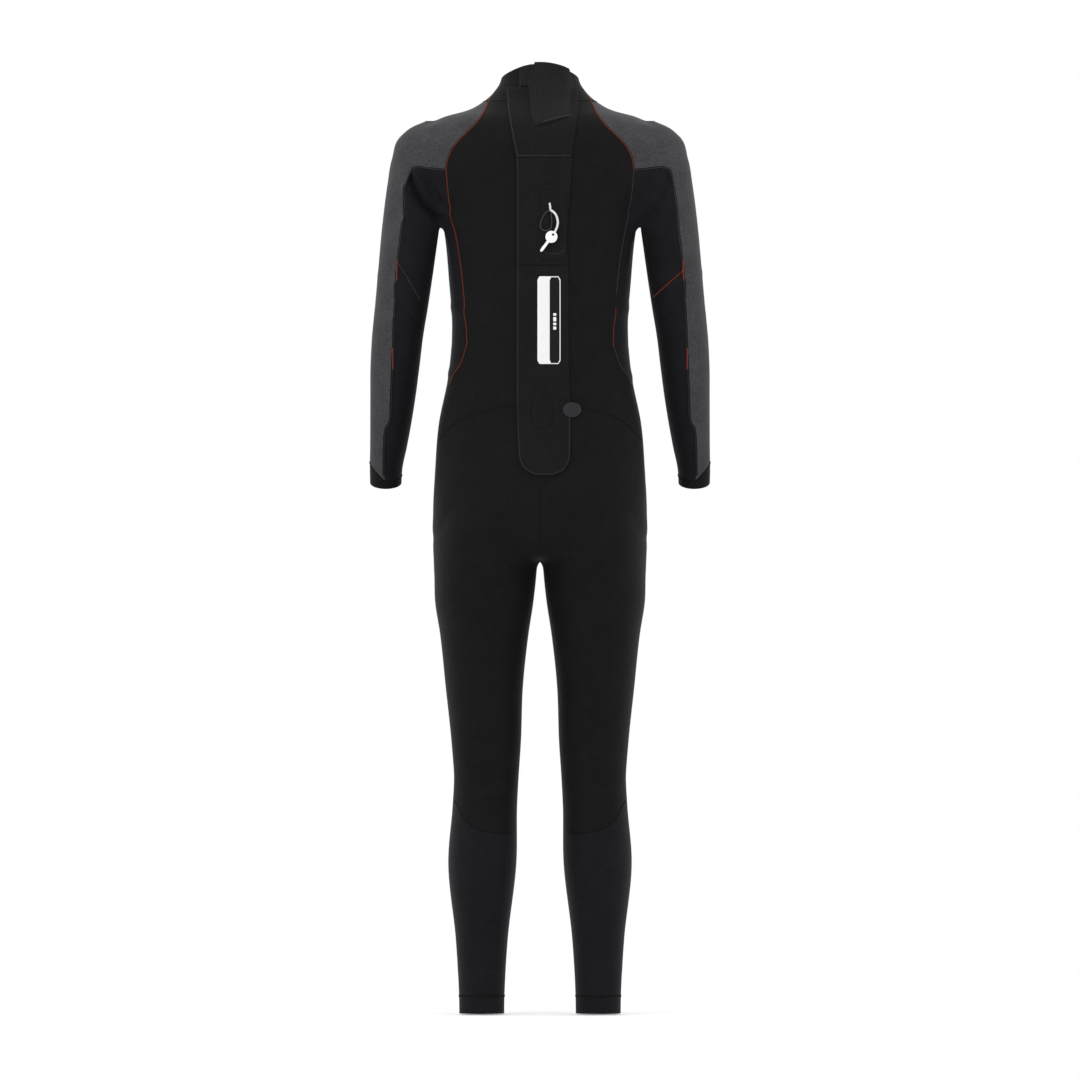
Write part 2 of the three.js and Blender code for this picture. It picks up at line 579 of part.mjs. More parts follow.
function turned(points) {
  const [x, z] = KEY_AT;
  return points.map((point) => {
    const moved = new THREE.Vector2(...point).rotateAround(new THREE.Vector2(), KEY_TURN);
    return [moved.x + x, moved.y + z];
  });
}

function addKey() {
  const [x0, x1, z0, z1] = TACK;
  const tackY = POCKET_FACE - SEAM_GAP;
  addNode('bar_tack', block(x0, x1, tackY - TACK_THICK, tackY, z0, z1), 'white');
  addNode('key_loop', cordAlong(LOOP_LINE, 14), 'elastic');
  addNode('key_cord', cordAlong(CORD_LINE, 12), 'white');
  const bow = new THREE.EllipseCurve(0, 0, BOW_RADIUS, BOW_RADIUS, -BOW_OPEN, Math.PI + BOW_OPEN).getPoints(18);
  const [holeX, holeZ, holeRadius] = KEY_HOLE;
  const hole = new THREE.EllipseCurve(holeX, holeZ, holeRadius, holeRadius, 0, 2 * Math.PI).getPoints(10).slice(1);
  const key = plate(
    turned([...bow.map((point) => [point.x, point.y]), ...KEY_SHANK]),
    LOOP_Y - KEY_HALF_THICK, LOOP_Y + KEY_HALF_THICK,
  );
  addNode('spare_key', key.subtract(plate(turned(hole.map((point) => [point.x, point.y])))), 'white');
}

// ---- assembly ----

addTorso();
addCollar();
for (const [side, name] of [[-1, 'left'], [1, 'right']]) {
  addSleeve(side, name);
  addLeg(side, name);
  addZipTape(side, name);
}
addSlider();
addPuller();
addFlap();
addTrim();
addCollarTab();
addKey();

// The suit hangs from its neck, so the middle of the collar seam is the origin.
suit.position.z = -COLLAR_SEAM;

export default suit;
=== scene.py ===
import bmesh
import bpy
import numpy as np
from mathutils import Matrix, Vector


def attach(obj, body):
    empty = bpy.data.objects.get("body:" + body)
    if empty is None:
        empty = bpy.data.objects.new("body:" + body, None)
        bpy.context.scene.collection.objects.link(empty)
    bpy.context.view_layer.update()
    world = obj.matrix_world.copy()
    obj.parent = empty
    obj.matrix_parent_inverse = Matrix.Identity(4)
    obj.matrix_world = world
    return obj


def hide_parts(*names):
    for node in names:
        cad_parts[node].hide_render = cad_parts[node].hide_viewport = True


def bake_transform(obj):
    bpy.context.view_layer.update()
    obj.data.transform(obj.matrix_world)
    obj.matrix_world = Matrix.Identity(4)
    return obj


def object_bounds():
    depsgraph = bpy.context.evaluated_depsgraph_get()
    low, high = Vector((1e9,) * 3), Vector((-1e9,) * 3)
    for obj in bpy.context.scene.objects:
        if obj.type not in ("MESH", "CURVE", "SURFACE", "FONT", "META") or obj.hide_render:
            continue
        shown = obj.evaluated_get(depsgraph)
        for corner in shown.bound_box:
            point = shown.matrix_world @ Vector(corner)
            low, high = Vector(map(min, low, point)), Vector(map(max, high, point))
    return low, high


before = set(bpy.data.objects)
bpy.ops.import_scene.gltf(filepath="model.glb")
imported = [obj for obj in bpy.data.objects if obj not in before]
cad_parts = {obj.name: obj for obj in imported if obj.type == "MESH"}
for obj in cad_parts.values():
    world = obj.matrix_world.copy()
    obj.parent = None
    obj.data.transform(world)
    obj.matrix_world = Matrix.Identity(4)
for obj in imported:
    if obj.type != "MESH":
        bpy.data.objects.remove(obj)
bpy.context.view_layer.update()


# ---- The body form ----
# The suit is filled out as if worn, so its skin follows one smooth form: a torso, two sleeves and two
# legs, each a stack of rounded ovals, which run into each other at the armpits and the crotch.
# Working units here are millimetres, with heights counted up from the ankle hems.

MM = 0.001
HEM_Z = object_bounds()[0][2]            # where the ankle hems end, in the frame
COLLAR_SEAM = 1441
COLLAR_TOP = 1500
CUFF_END = 839
CUFF_SLOPE = 0.42                    # the wrist leans forward, so its back edge is lower
CUFF_Y = 69

# height, half width, depth to the back, depth to the front, roundness (2 is an ellipse)
TORSO = np.array([
    (700, 150, 90, 80, 2.2), (735, 162, 101, 85, 2.2), (752, 168, 113, 92, 2.3), (790, 169, 121, 98, 2.3),
    (855, 166, 116, 102, 2.3), (931, 160, 108, 102, 2.4), (1007, 145, 108, 102, 2.5),
    (1083, 139, 108, 104, 2.5), (1160, 144, 108, 114, 2.5), (1225, 150, 108, 121, 2.45),
    (1250, 154, 108, 122, 2.4), (1300, 166, 108, 116, 2.4), (1349, 172, 108, 106, 2.3),
    (1387, 174, 106, 93, 2.1), (1407, 170, 98, 84, 2.0), (1417, 150, 91, 78, 2.0), (1426, 117, 84, 72, 2.0),
    (1441, 89, 73, 64, 2.0), (1462, 68, 65, 59, 2.0), (1502, 57, 59, 52, 2.0)], float)

# height, distance out, distance forward, half width, half depth
SLEEVE = np.array([
    (1409, 170, -4, 12, 10), (1402, 172, -4, 27, 24), (1388, 178, -4, 40, 37), (1350, 189, -4, 45, 50),
    (1310, 195, -5, 46, 53), (1247, 203.5, -6, 45.5, 55), (1165, 213, -5, 43.5, 50),
    (1115, 219, -2, 42, 48), (1070, 225, 4, 40.5, 45), (1025, 229, 13, 39, 43), (969, 233, 28, 35.5, 38),
    (893, 240, 51, 29, 32), (863, 243.5, 61, 26, 29), (815, 244, 76, 24.5, 27)], float)[::-1]

# height, distance out, half width, depth to the back, depth to the front
LEG = np.array([
    (0, 92, 35.5, 36, 41), (28, 92, 36, 37, 40.5), (116, 92, 41, 46, 41), (242, 91, 54, 64, 47),
    (330, 87, 51, 58, 55), (369, 85, 51, 55, 60), (430, 85, 55, 60, 67), (515, 88, 61, 72, 74),
    (600, 88, 70, 83, 79), (653, 88, 78, 93, 82), (690, 86.5, 80.5, 101, 85), (715, 86, 82, 107, 88),
    (748, 85, 83.5, 112, 91), (785, 82, 79, 108, 88), (835, 68, 60, 88, 70)], float)


def stations(rows, z):
    """Columns of a station list at heights z: cubic curves through the rows, each with the slope of the
    line between its neighbours, held level beyond both ends."""
    knots, values = rows[:, 0], rows[:, 1:]
    slopes = np.gradient(values, knots, axis=0)
    z = np.clip(z, knots[0], knots[-1])
    i = np.clip(np.searchsorted(knots, z) - 1, 0, len(knots) - 2)
    gap = knots[i + 1] - knots[i]
    t = ((z - knots[i]) / gap)[..., None]
    gap = gap[..., None]
    low, high = values[i], values[i + 1]
    ease = t * t * (3 - 2 * t)
    bend = slopes[i] * t * (1 - t) ** 2 - slopes[i + 1] * t * t * (1 - t)
    return np.moveaxis(low + (high - low) * ease + bend * gap, -1, 0)


def oval_gap(x, y, half_width, depth, roundness):
    """Distance out from a rounded oval, along the line from its middle: |p| times (1 - 1/q), where q is
    the p-norm of (x / half width, y / depth)."""
    q = (np.abs(x / half_width) ** roundness + np.abs(y / depth) ** roundness) ** (1 / roundness)
    reach = np.hypot(x, y)
    return reach * (1 - 1 / np.maximum(q, 1e-6))


def join(a, b, width):
    """The lower of two distances, rounded over a width where they are close."""
    close = np.maximum(width - np.abs(a - b), 0) / width
    return np.minimum(a, b) - close * close * width / 4


def step(value, low, high):
    """0 below low, 1 above high, smooth between."""
    t = np.clip((value - low) / (high - low), 0, 1)
    return t * t * (3 - 2 * t)


def body(x, y, z):
    """The suit's form: below zero inside, above zero outside, about millimetres near the skin."""
    side = np.abs(x)
    half, back, front, roundness = stations(TORSO, z)
    torso = oval_gap(x, y, half, np.where(y < 0, back, front), roundness)
    torso = -join(-torso, z - 718, 44)
    out, forward, half, depth = stations(SLEEVE, z)
    sleeve = oval_gap(side - out, y - forward, half, depth, 2)
    sleeve = np.maximum(sleeve, np.maximum(z - 1410, 812 - z))
    out, half, back, front = stations(LEG, z)
    leg = oval_gap(side - out, y, half, np.where(y < 0, back, front), 2.1)
    leg = np.maximum(leg, z - 850)
    whole = join(torso, sleeve, 4 + 42 * step(np.abs(y), 14, 48))
    return join(whole, leg, 3 + 15 * np.exp(-(side / 55) ** 2) + 8 * step(np.abs(y), 60, 95))


def out_of(p):
    """Unit normals of the body form at points p, from differences over a millimetre."""
    x, y, z = p.T
    slope = np.stack([
        body(x + 1, y, z) - body(x - 1, y, z),
        body(x, y + 1, z) - body(x, y - 1, z),
        body(x, y, z + 1) - body(x, y, z - 1)], 1) / 2
    size = np.linalg.norm(slope, axis=1, keepdims=True)
    return slope / size, size[:, 0]


def settle(p):
    """Moves points onto the skin along the normal, four times, by at most 6 mm at a time."""
    for _ in range(4):
        normal, size = out_of(p)
        gain = np.maximum((normal * normal).sum(1), 0.15) * size
        p = p - normal * np.clip(body(*p.T) / gain, -6, 6)[:, None]
    return p


def cast(start, way, reach=150):
    """Points on the skin from points inside it, along unit directions: 24 halvings of the reach."""
    near, far = np.zeros(len(start)), np.full(len(start), float(reach))
    for _ in range(24):
        half = (near + far) / 2
        out = body(*(start + way * half[:, None]).T) > 0
        far = np.where(out, half, far)
        near = np.where(out, near, half)
    return start + way * near[:, None]


# The cloth isn't tight everywhere: it creases beside the armpits, behind the knees and at the waist.
# Each crease is a line seen from behind (or from the front): across, height at one end, the same at the
# other, how far it bows sideways, its width and its height. Hollows have a height below zero.
CREASE_DEPTH = 2.2
CREASES_BACK = [
    (-205, 1335, -154, 1252, 14, 5, -4.0), (-196, 1338, -146, 1262, 13, 6, 3.2),
    (-214, 1318, -163, 1243, 14, 6, 3.0), (-181, 1338, -139, 1268, 10, 5, -1.8),
    (-223, 1290, -175, 1224, 12, 5, -1.4), (-158, 1300, -122, 1240, 6, 9, 1.3),
    (205, 1322, 158, 1246, -12, 6, -1.8), (193, 1330, 148, 1256, -10, 8, 1.6),
    (216, 1290, 172, 1226, -10, 8, 1.4), (170, 1325, 138, 1262, -8, 7, -1.1),
    (-252, 1168, -196, 1106, -6, 7, 1.3), (-250, 1140, -190, 1084, -6, 6, -1.1),
    (-256, 1110, -200, 1060, -5, 8, 1.0), (254, 1172, 190, 1118, 6, 7, 1.3),
    (250, 1142, 192, 1092, 6, 6, -1.1), (258, 1108, 204, 1058, 5, 8, 0.9),
    (-140, 1120, -96, 1074, -6, 9, 1.3), (-138, 1062, -92, 1040, -5, 8, -1.2),
    (-146, 1010, -96, 1026, 6, 9, 1.1), (140, 1118, 98, 1076, 6, 9, 1.2), (138, 1058, 94, 1040, 5, 8, -1.1),
    (148, 1004, 100, 1024, -6, 9, 1.0), (-124, 742, -44, 716, 10, 9, -0.8),
    (124, 740, 44, 716, 10, 9, -0.8), (-132, 402, -50, 396, 6, 8, 1.2), (-134, 376, -48, 366, 6, 7, -0.6),
    (-128, 350, -46, 346, 5, 8, 0.9), (132, 402, 50, 398, 6, 8, 1.2), (134, 374, 48, 368, 6, 7, -0.6),
    (128, 348, 46, 346, 5, 8, 0.9), (-128, 72, -64, 60, 4, 7, 0.8), (128, 74, 64, 62, 4, 7, 0.8)]
CREASES_FRONT = [
    (-206, 1322, -150, 1250, 10, 7, -2.0), (206, 1322, 150, 1250, -10, 7, -2.0),
    (-194, 1334, -140, 1262, 9, 9, 1.7), (194, 1334, 140, 1262, -9, 9, 1.7),
    (-252, 1096, -204, 1072, 5, 7, 1.2), (252, 1096, 204, 1072, 5, 7, 1.2),
    (-250, 1066, -206, 1048, 5, 6, -1.2), (250, 1066, 206, 1048, 5, 6, -1.2),
    (-120, 1010, 120, 1002, -8, 9, 1.1), (-128, 752, -30, 718, 8, 9, -1.7), (128, 752, 30, 718, 8, 9, -1.7),
    (-110, 716, -20, 692, 8, 9, 1.2), (110, 716, 20, 692, 8, 9, 1.2)]


def creases(p):
    """How far the cloth stands out from the form at points p: over each crease, its height times
    exp(-(distance / width)^2), faded out towards its ends."""
    total = np.zeros(len(p))
    for rows, facing in ((CREASES_BACK, step(-p[:, 1], -12, 12)), (CREASES_FRONT, step(p[:, 1], -12, 12))):
        for x0, z0, x1, z1, bow, width, height in rows:
            run = np.array([x1 - x0, z1 - z0], float)
            length = np.hypot(*run)
            run /= length
            dx, dz = p[:, 0] - x0, p[:, 2] - z0
            along = (dx * run[0] + dz * run[1]) / length
            across = dx * run[1] - dz * run[0] - bow * 4 * along * (1 - along)
            ends = step(along, -0.12, 0.2) * step(1 - along, -0.12, 0.2)
            total += CREASE_DEPTH * facing * ends * height * np.exp(-(across / width) ** 2)
    return total


# ---- Panels of the suit ----
# The suit is sewn from about thirty panels of 3 mm neoprene, each a flat cut that takes its shape from
# its neighbours. Here the whole skin is found once as the level surface of the form, because it branches
# at the armpits and the crotch, and is then cut into the same panels along the seam lines.

CELL = 4.0
THICK = 3.0


def net(field, xs, ys, zs):
    """The level surface of a field as triangles: one vertex in each grid cell that the surface crosses,
    at the mean of its crossings of the cell's edges, and two triangles across each crossed grid edge."""
    axes = (xs, ys, zs)
    value = field(xs[:, None, None], ys[None, :, None], zs[None, None, :])
    inside = value < 0
    cells = tuple(n - 1 for n in value.shape)
    total, count = np.zeros(cells + (3,)), np.zeros(cells, int)
    crossings = []
    for axis in range(3):
        low = tuple(slice(0, -1) if a == axis else slice(None) for a in range(3))
        high = tuple(slice(1, None) if a == axis else slice(None) for a in range(3))
        crossed = np.argwhere(inside[low] != inside[high])
        others = [a for a in range(3) if a != axis]
        crossed = crossed[np.all([(crossed[:, a] > 0) & (crossed[:, a] < cells[a]) for a in others], 0)]
        upper = crossed + np.eye(3, dtype=int)[axis]
        at = value[tuple(crossed.T)]
        share = at / (at - value[tuple(upper.T)])
        points = np.stack([axes[a][crossed[:, a]] for a in range(3)], 1)
        points[:, axis] += share * CELL
        around = []
        for shift in ((0, 0), (-1, 0), (-1, -1), (0, -1)):
            cell = crossed.copy()
            cell[:, others[0]] += shift[0]
            cell[:, others[1]] += shift[1]
            around.append(cell)
            np.add.at(total, tuple(cell.T), points)
            np.add.at(count, tuple(cell.T), 1)
        crossings.append((around, inside[tuple(crossed.T)] ^ (axis == 1)))
    index = np.full(cells, -1)
    index[count > 0] = np.arange((count > 0).sum())
    faces = []
    for around, flip in crossings:
        quad = np.stack([index[tuple(cell.T)] for cell in around], 1)
        quad[~flip] = quad[~flip][:, ::-1]
        faces += [quad[:, [0, 1, 2]], quad[:, [0, 2, 3]]]
    return (total / np.maximum(count, 1)[..., None])[count > 0], np.concatenate(faces)


def used(points, faces):
    """The points that the faces use, and the faces renumbered to them."""
    kept, renumbered = np.unique(faces, return_inverse=True)
    return points[kept], renumbered.reshape(faces.shape)


def split(cloth, level, tolerance=0.3):
    """Cuts a sheet of triangles along the line where level(x, y, z) is zero, and returns the part above
    zero and the part below. A crossed edge gets a new point at the share of it that level gives."""
    points, faces = cloth
    value = level(*points.T)
    value = np.where(np.abs(value) < tolerance, 0, value)
    sign = np.sign(value)[faces]
    mixed = (sign.max(1) > 0) & (sign.min(1) < 0)
    whole, whole_up = faces[~mixed], sign[~mixed].sum(1) > 0
    sign = sign[mixed]
    odd = sign == -np.sign(sign.sum(1))[:, None]
    first = np.where((sign == 0).any(1), np.argmax(sign == 0, 1), np.argmax(odd, 1))
    a, b, c = np.take_along_axis(faces[mixed], (first[:, None] + np.arange(3)) % 3, 1).T
    pin = value[a] == 0
    pairs = np.concatenate([np.stack([b, c], 1)[pin], np.stack([a, b], 1)[~pin], np.stack([a, c], 1)[~pin]])
    pairs, which = np.unique(np.sort(pairs, 1), axis=0, return_inverse=True)
    low, high = pairs.T
    share = (value[low] / (value[low] - value[high]))[:, None]
    which = which.reshape(-1) + len(points)
    points = np.concatenate([points, points[low] + (points[high] - points[low]) * share])
    middle, left, right = np.split(which, [pin.sum(), pin.sum() + (~pin).sum()])
    pieces = [
        (np.stack([a[pin], b[pin], middle], 1), value[b[pin]] > 0),
        (np.stack([a[pin], middle, c[pin]], 1), value[c[pin]] > 0),
        (np.stack([a[~pin], left, right], 1), value[a[~pin]] > 0),
        (np.stack([left, b[~pin], c[~pin]], 1), value[b[~pin]] > 0),
        (np.stack([left, c[~pin], right], 1), value[c[~pin]] > 0),
        (whole, whole_up)]
    faces = np.concatenate([piece for piece, _ in pieces])
    up = np.concatenate([side for _, side in pieces])
    return used(points, faces[up]), used(points, faces[~up])


def rounded(line, rounds=2):
    """A line with its corners cut: each stretch keeps its middle half, so the line bends smoothly."""
    line = np.array(line, float)
    for _ in range(rounds):
        a, b = line[:-1], line[1:]
        cut = np.stack([a * 0.75 + b * 0.25, a * 0.25 + b * 0.75], 1).reshape(-1, 2)
        line = np.concatenate([line[:1], cut[1:-1], line[-1:]])
    return line


RAGLAN = rounded([(78, 1447), (94, 1409), (134, 1373), (146, 1349), (148, 1331)])
SHOULDER_HEM = rounded([(148, 1331), (170, 1333), (192, 1336), (205, 1332), (210, 1318), (213, 1285),
                        (217, 1247), (220, 1222), (225, 1183), (227.5, 1150)])
SLEEVE_SEAM = rounded([(227.5, 1150), (231, 1064), (235, 969), (236, 932), (246, 924), (247, 850)])
SIDE_SEAM = rounded([(148, 1331), (143, 1278), (126, 1199), (116, 1096), (115, 1064), (121, 1033),
                     (134, 1009), (156, 972)])
YOKE_SEAM = rounded([(0, 963), (39, 961), (78, 955), (110, 946), (134, 934), (149, 917), (175, 892)])
CALF_SEAM = rounded([(150, 352), (137, 342), (122, 309), (102, 293), (78, 287), (37, 285), (20, 285)])
BETWEEN = np.array([(700, 196), (815, 194), (931, 182), (1007, 168), (1083, 160), (1160, 157),
                    (1222, 155.5), (1300, 155.5)], float)
SLEEVE_RAMP = (1238, 1150)           # the under-sleeve starts below the first height; the sleeve's panels are cut in two at the second
ELBOW_RAMP = (1115, 1025)
THIGH_RAMP = (715, 600)
KNEE_RAMP = (430, 330)
THIGH_END = 515
HEM_SEAM = 28
SLOT_HALF = 14                       # the back opening under the flap
SLOT_END = 930
CUFF_SEAM = 852
CUFF_CANT = 1.05


def apart(line, closing):
    """A level for split: distance in view from a line, below zero inside the outline that it makes with
    the closing points. Inside is where an upward ray crosses the outline an odd number of times."""
    outline = np.concatenate([line, np.array(closing, float)])

    def level(x, y, z):
        p = np.stack([np.abs(x), z], 1)
        best = np.full(len(p), 1e9)
        for a, b in zip(line[:-1], line[1:]):
            t = np.clip((p - a) @ (b - a) / ((b - a) @ (b - a)), 0, 1)
            best = np.minimum(best, np.hypot(*(p - a - t[:, None] * (b - a)).T))
        crossed = np.zeros(len(p), bool)
        for a, b in zip(outline, np.roll(outline, -1, 0)):
            spans = (a[0] > p[:, 0]) != (b[0] > p[:, 0])
            rise = a[1] + (p[:, 0] - a[0]) * (b[1] - a[1]) / np.where(b[0] == a[0], 1, b[0] - a[0])
            crossed ^= spans & (rise > p[:, 1])
        return np.where(crossed, -best, best)

    return level


def cuff_level(end):
    """A level that is below zero in the sleeve beyond a plane across the wrist. The cuff's seam rises
    over the outside of the wrist."""
    return lambda x, y, z: np.where((np.abs(x) > 190) & (z < 950), z - wrist(end, x, y), 50.0)


def wrist(end, x, y):
    """Height of the cuff's end, or of its seam, at a point round the wrist."""
    cant = CUFF_CANT if end == CUFF_SEAM else 0
    return end + CUFF_SLOPE * (y - CUFF_Y) + cant * np.maximum(np.abs(x) - 247, 0)


def in_sleeve(x, y, z):
    """Above zero in the arm, below the armpit."""
    return np.minimum(np.abs(x) - np.interp(z, *BETWEEN.T), SLEEVE_RAMP[0] - z)


skin = net(body, np.arange(-286, 287, CELL), np.arange(-134, 135, CELL), np.arange(-10, 1520, CELL))
skin = (settle(skin[0]), skin[1])


def linear(code):
    """A colour from a hex code, as the linear values that the shader takes."""
    parts = np.array([int(code[i:i + 2], 16) for i in (1, 3, 5)]) / 255
    return (*np.where(parts <= 0.04045, parts / 12.92, ((parts + 0.055) / 1.055) ** 2.4), 1.0)


def add(tree, kind, values=(), links=(), **settings):
    """A shader node with its settings, its sockets' values, and links from (output socket) by input name."""
    made = tree.nodes.new(kind)
    for name, value in settings.items():
        setattr(made, name, value)
    for name, value in dict(values).items():
        made.inputs[name].default_value = value
    for name, source in dict(links).items():
        tree.links.new(source, made.inputs[name])
    return made


def finish_of(name, code, roughness, sheen=0.0, metallic=0.0, coat=0.0):
    """A new material with one Principled shader, and the shader itself."""
    made = bpy.data.materials.new(name)
    made.use_nodes = True
    tree = made.node_tree
    shader = tree.nodes["Principled BSDF"]
    values = {"Base Color": linear(code), "Roughness": roughness, "Sheen Weight": sheen, "Metallic": metallic,
              "Sheen Roughness": 0.5, "Coat Weight": coat, "Coat Roughness": 0.25, "Specular IOR Level": 0.08}
    for socket, value in values.items():
        shader.inputs[socket].default_value = value
    return made, tree, shader


def knit(name, code, lighter, sheen=0.25, rib=0.0011, roughness=0.66):
    """Jersey-faced neoprene: columns of fine stitches rib metres apart, a soft mottle a few centimetres
    across where the nap lies differently, and shallow unevenness of the foam underneath."""
    made, tree, shader = finish_of(name, code, roughness, sheen)
    place = add(tree, "ShaderNodeTexCoord").outputs["Object"]
    mottle = add(tree, "ShaderNodeTexNoise", {"Scale": 30.0, "Detail": 5.0, "Roughness": 0.6},
                 {"Vector": place})
    fibre = add(tree, "ShaderNodeTexNoise", {"Scale": 420.0, "Detail": 4.0, "Roughness": 0.75},
                {"Vector": place})
    both = add(tree, "ShaderNodeMath", {1: 0.3}, {0: mottle.outputs["Fac"], 2: fibre.outputs["Fac"]},
               operation="MULTIPLY_ADD")
    tone = add(tree, "ShaderNodeMapRange", {"From Min": 0.45, "From Max": 0.85}, {"Value": both.outputs[0]})
    colour = add(tree, "ShaderNodeMix", {"A": linear(code), "B": linear(lighter)}, {}, data_type="RGBA")
    tree.links.new(tone.outputs[0], colour.inputs["Factor"])
    tree.links.new(colour.outputs["Result"], shader.inputs["Base Color"])
    ribs = add(tree, "ShaderNodeTexWave", {"Scale": 1 / rib / 3.2, "Distortion": 1.2, "Detail": 1.0},
               {"Vector": place})
    foam = add(tree, "ShaderNodeTexNoise", {"Scale": 75.0, "Detail": 3.0}, {"Vector": place})
    fine = add(tree, "ShaderNodeBump", {"Strength": 0.35, "Distance": 0.0003},
               {"Height": ribs.outputs["Fac"]})
    soft = add(tree, "ShaderNodeBump", {"Strength": 0.5, "Distance": 0.0011},
               {"Height": foam.outputs["Fac"], "Normal": fine.outputs["Normal"]})
    tree.links.new(soft.outputs["Normal"], shader.inputs["Normal"])
    return made


BLACK = knit("black neoprene", "#050506", "#121213", 0.02)
BLUE_BLACK = knit("bluish black neoprene", "#08080b", "#16161b", 0.025)
GREY = knit("grey neoprene", "#29292b", "#454548", 0.05)


def to_frame(p):
    """Working points in millimetres above the hems, as metres in the frame."""
    return p * MM + np.array([0, 0, HEM_Z])


def put(name, points, faces, materials, material_of=None, sharp=None):
    """A mesh object from whole arrays, smooth apart from edges bent more than sharp degrees, with its
    faces turned outwards."""
    mesh = bpy.data.meshes.new(name)
    mesh.from_pydata(to_frame(points).tolist(), [], [face.tolist() for face in faces])
    if material_of is not None:
        mesh.polygons.foreach_set("material_index", material_of.astype(np.int32))
    work = bmesh.new()
    work.from_mesh(mesh)
    bmesh.ops.recalc_face_normals(work, faces=work.faces)
    work.to_mesh(mesh)
    work.free()
    mesh.shade_smooth()
    if sharp:
        mesh.set_sharp_from_angle(angle=np.radians(sharp))
    for material in materials if isinstance(materials, (list, tuple)) else [materials]:
        mesh.materials.append(material)
    made = bpy.data.objects.new(name, mesh)
    bpy.context.scene.collection.objects.link(made)
    return made


def follow(made, zone, stands_for=()):
    """Ties a piece to its body when the zone is a body's name. A zone given as (body, next body, ramp) only
    bakes the piece's place into its mesh; the ramp's heights are not used. The model's parts named in
    stands_for are hidden."""
    if isinstance(zone, str):
        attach(made, zone)
    else:
        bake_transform(made)
    if stands_for:
        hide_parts(*stands_for)
    return made


def panel(name, cloth, material, zone, stands_for=()):
    """A closed 3 mm panel from a cut of the skin: the outer face lies on the form plus its creases, the
    inner face is the same set in along the normals, and a rim joins them round every open edge."""
    points, faces = cloth
    normal, _ = out_of(points)
    outer = points + normal * creases(points)[:, None]
    n = len(points)
    edges = np.concatenate([faces[:, [0, 1]], faces[:, [1, 2]], faces[:, [2, 0]]])
    open_edge = ~np.isin(edges[:, 0] * n + edges[:, 1], edges[:, 1] * n + edges[:, 0])
    a, b = edges[open_edge].T
    rim = np.concatenate([np.stack([b, a, a + n], 1), np.stack([b, a + n, b + n], 1)])
    made = put(name, np.concatenate([outer, outer - normal * THICK]),
               np.concatenate([faces, faces[:, ::-1] + n, rim]), material, sharp=50)
    return follow(made, zone, stands_for)


def collar_rim(y):
    """The height of the collar's top edge, from how far it is in front of the nape: it falls quickly
    round the sides of the neck and gently towards the throat."""
    ahead = np.maximum(y + 60, 0)
    return COLLAR_TOP - 21 * (1 - np.exp(-ahead / 33)) - 0.09 * ahead


skin, _ = split(skin, lambda x, y, z: z)
skin, _ = split(skin, lambda x, y, z: collar_rim(y) - z)
skin, _ = split(skin, cuff_level(CUFF_END))
skin, _ = split(skin, lambda x, y, z: np.maximum(np.maximum(np.abs(x) - SLOT_HALF, SLOT_END - z), y + 20))
collar, skin = split(skin, lambda x, y, z: z - COLLAR_SEAM)
skin, cuffs = split(skin, cuff_level(CUFF_SEAM))
OUTER_SEAM = np.concatenate([RAGLAN, SHOULDER_HEM[1:], SLEEVE_SEAM[1:]])
skin, grey = split(skin, apart(OUTER_SEAM, [(247, 700), (400, 700), (400, 1700), (78, 1700)]))
under, skin = split(skin, in_sleeve)
upper, lower = split(skin, lambda x, y, z: z - np.interp(np.abs(x), *YOKE_SEAM.T))
chest, upper = split(upper, lambda x, y, z: y)
sides, backs = split(upper, lambda x, y, z: np.abs(x) - np.interp(z, *SIDE_SEAM[::-1, ::-1].T)
                     - np.maximum(SIDE_SEAM[-1, 1] - z, 0))
hems, lower = split(lower, lambda x, y, z: HEM_SEAM - z)
thighs, calves = split(lower, lambda x, y, z: z - THIGH_END)
hips, seats = split(thighs, lambda x, y, z: y)
shins, calves = split(calves, lambda x, y, z: y)
knees, calves = split(calves, lambda x, y, z: z - np.interp(np.abs(x), *CALF_SEAM[::-1].T))
shoulders, outer_arms = split(grey, lambda x, y, z: z - SLEEVE_RAMP[1])
under_upper, under_lower = split(under, lambda x, y, z: z - SLEEVE_RAMP[1])

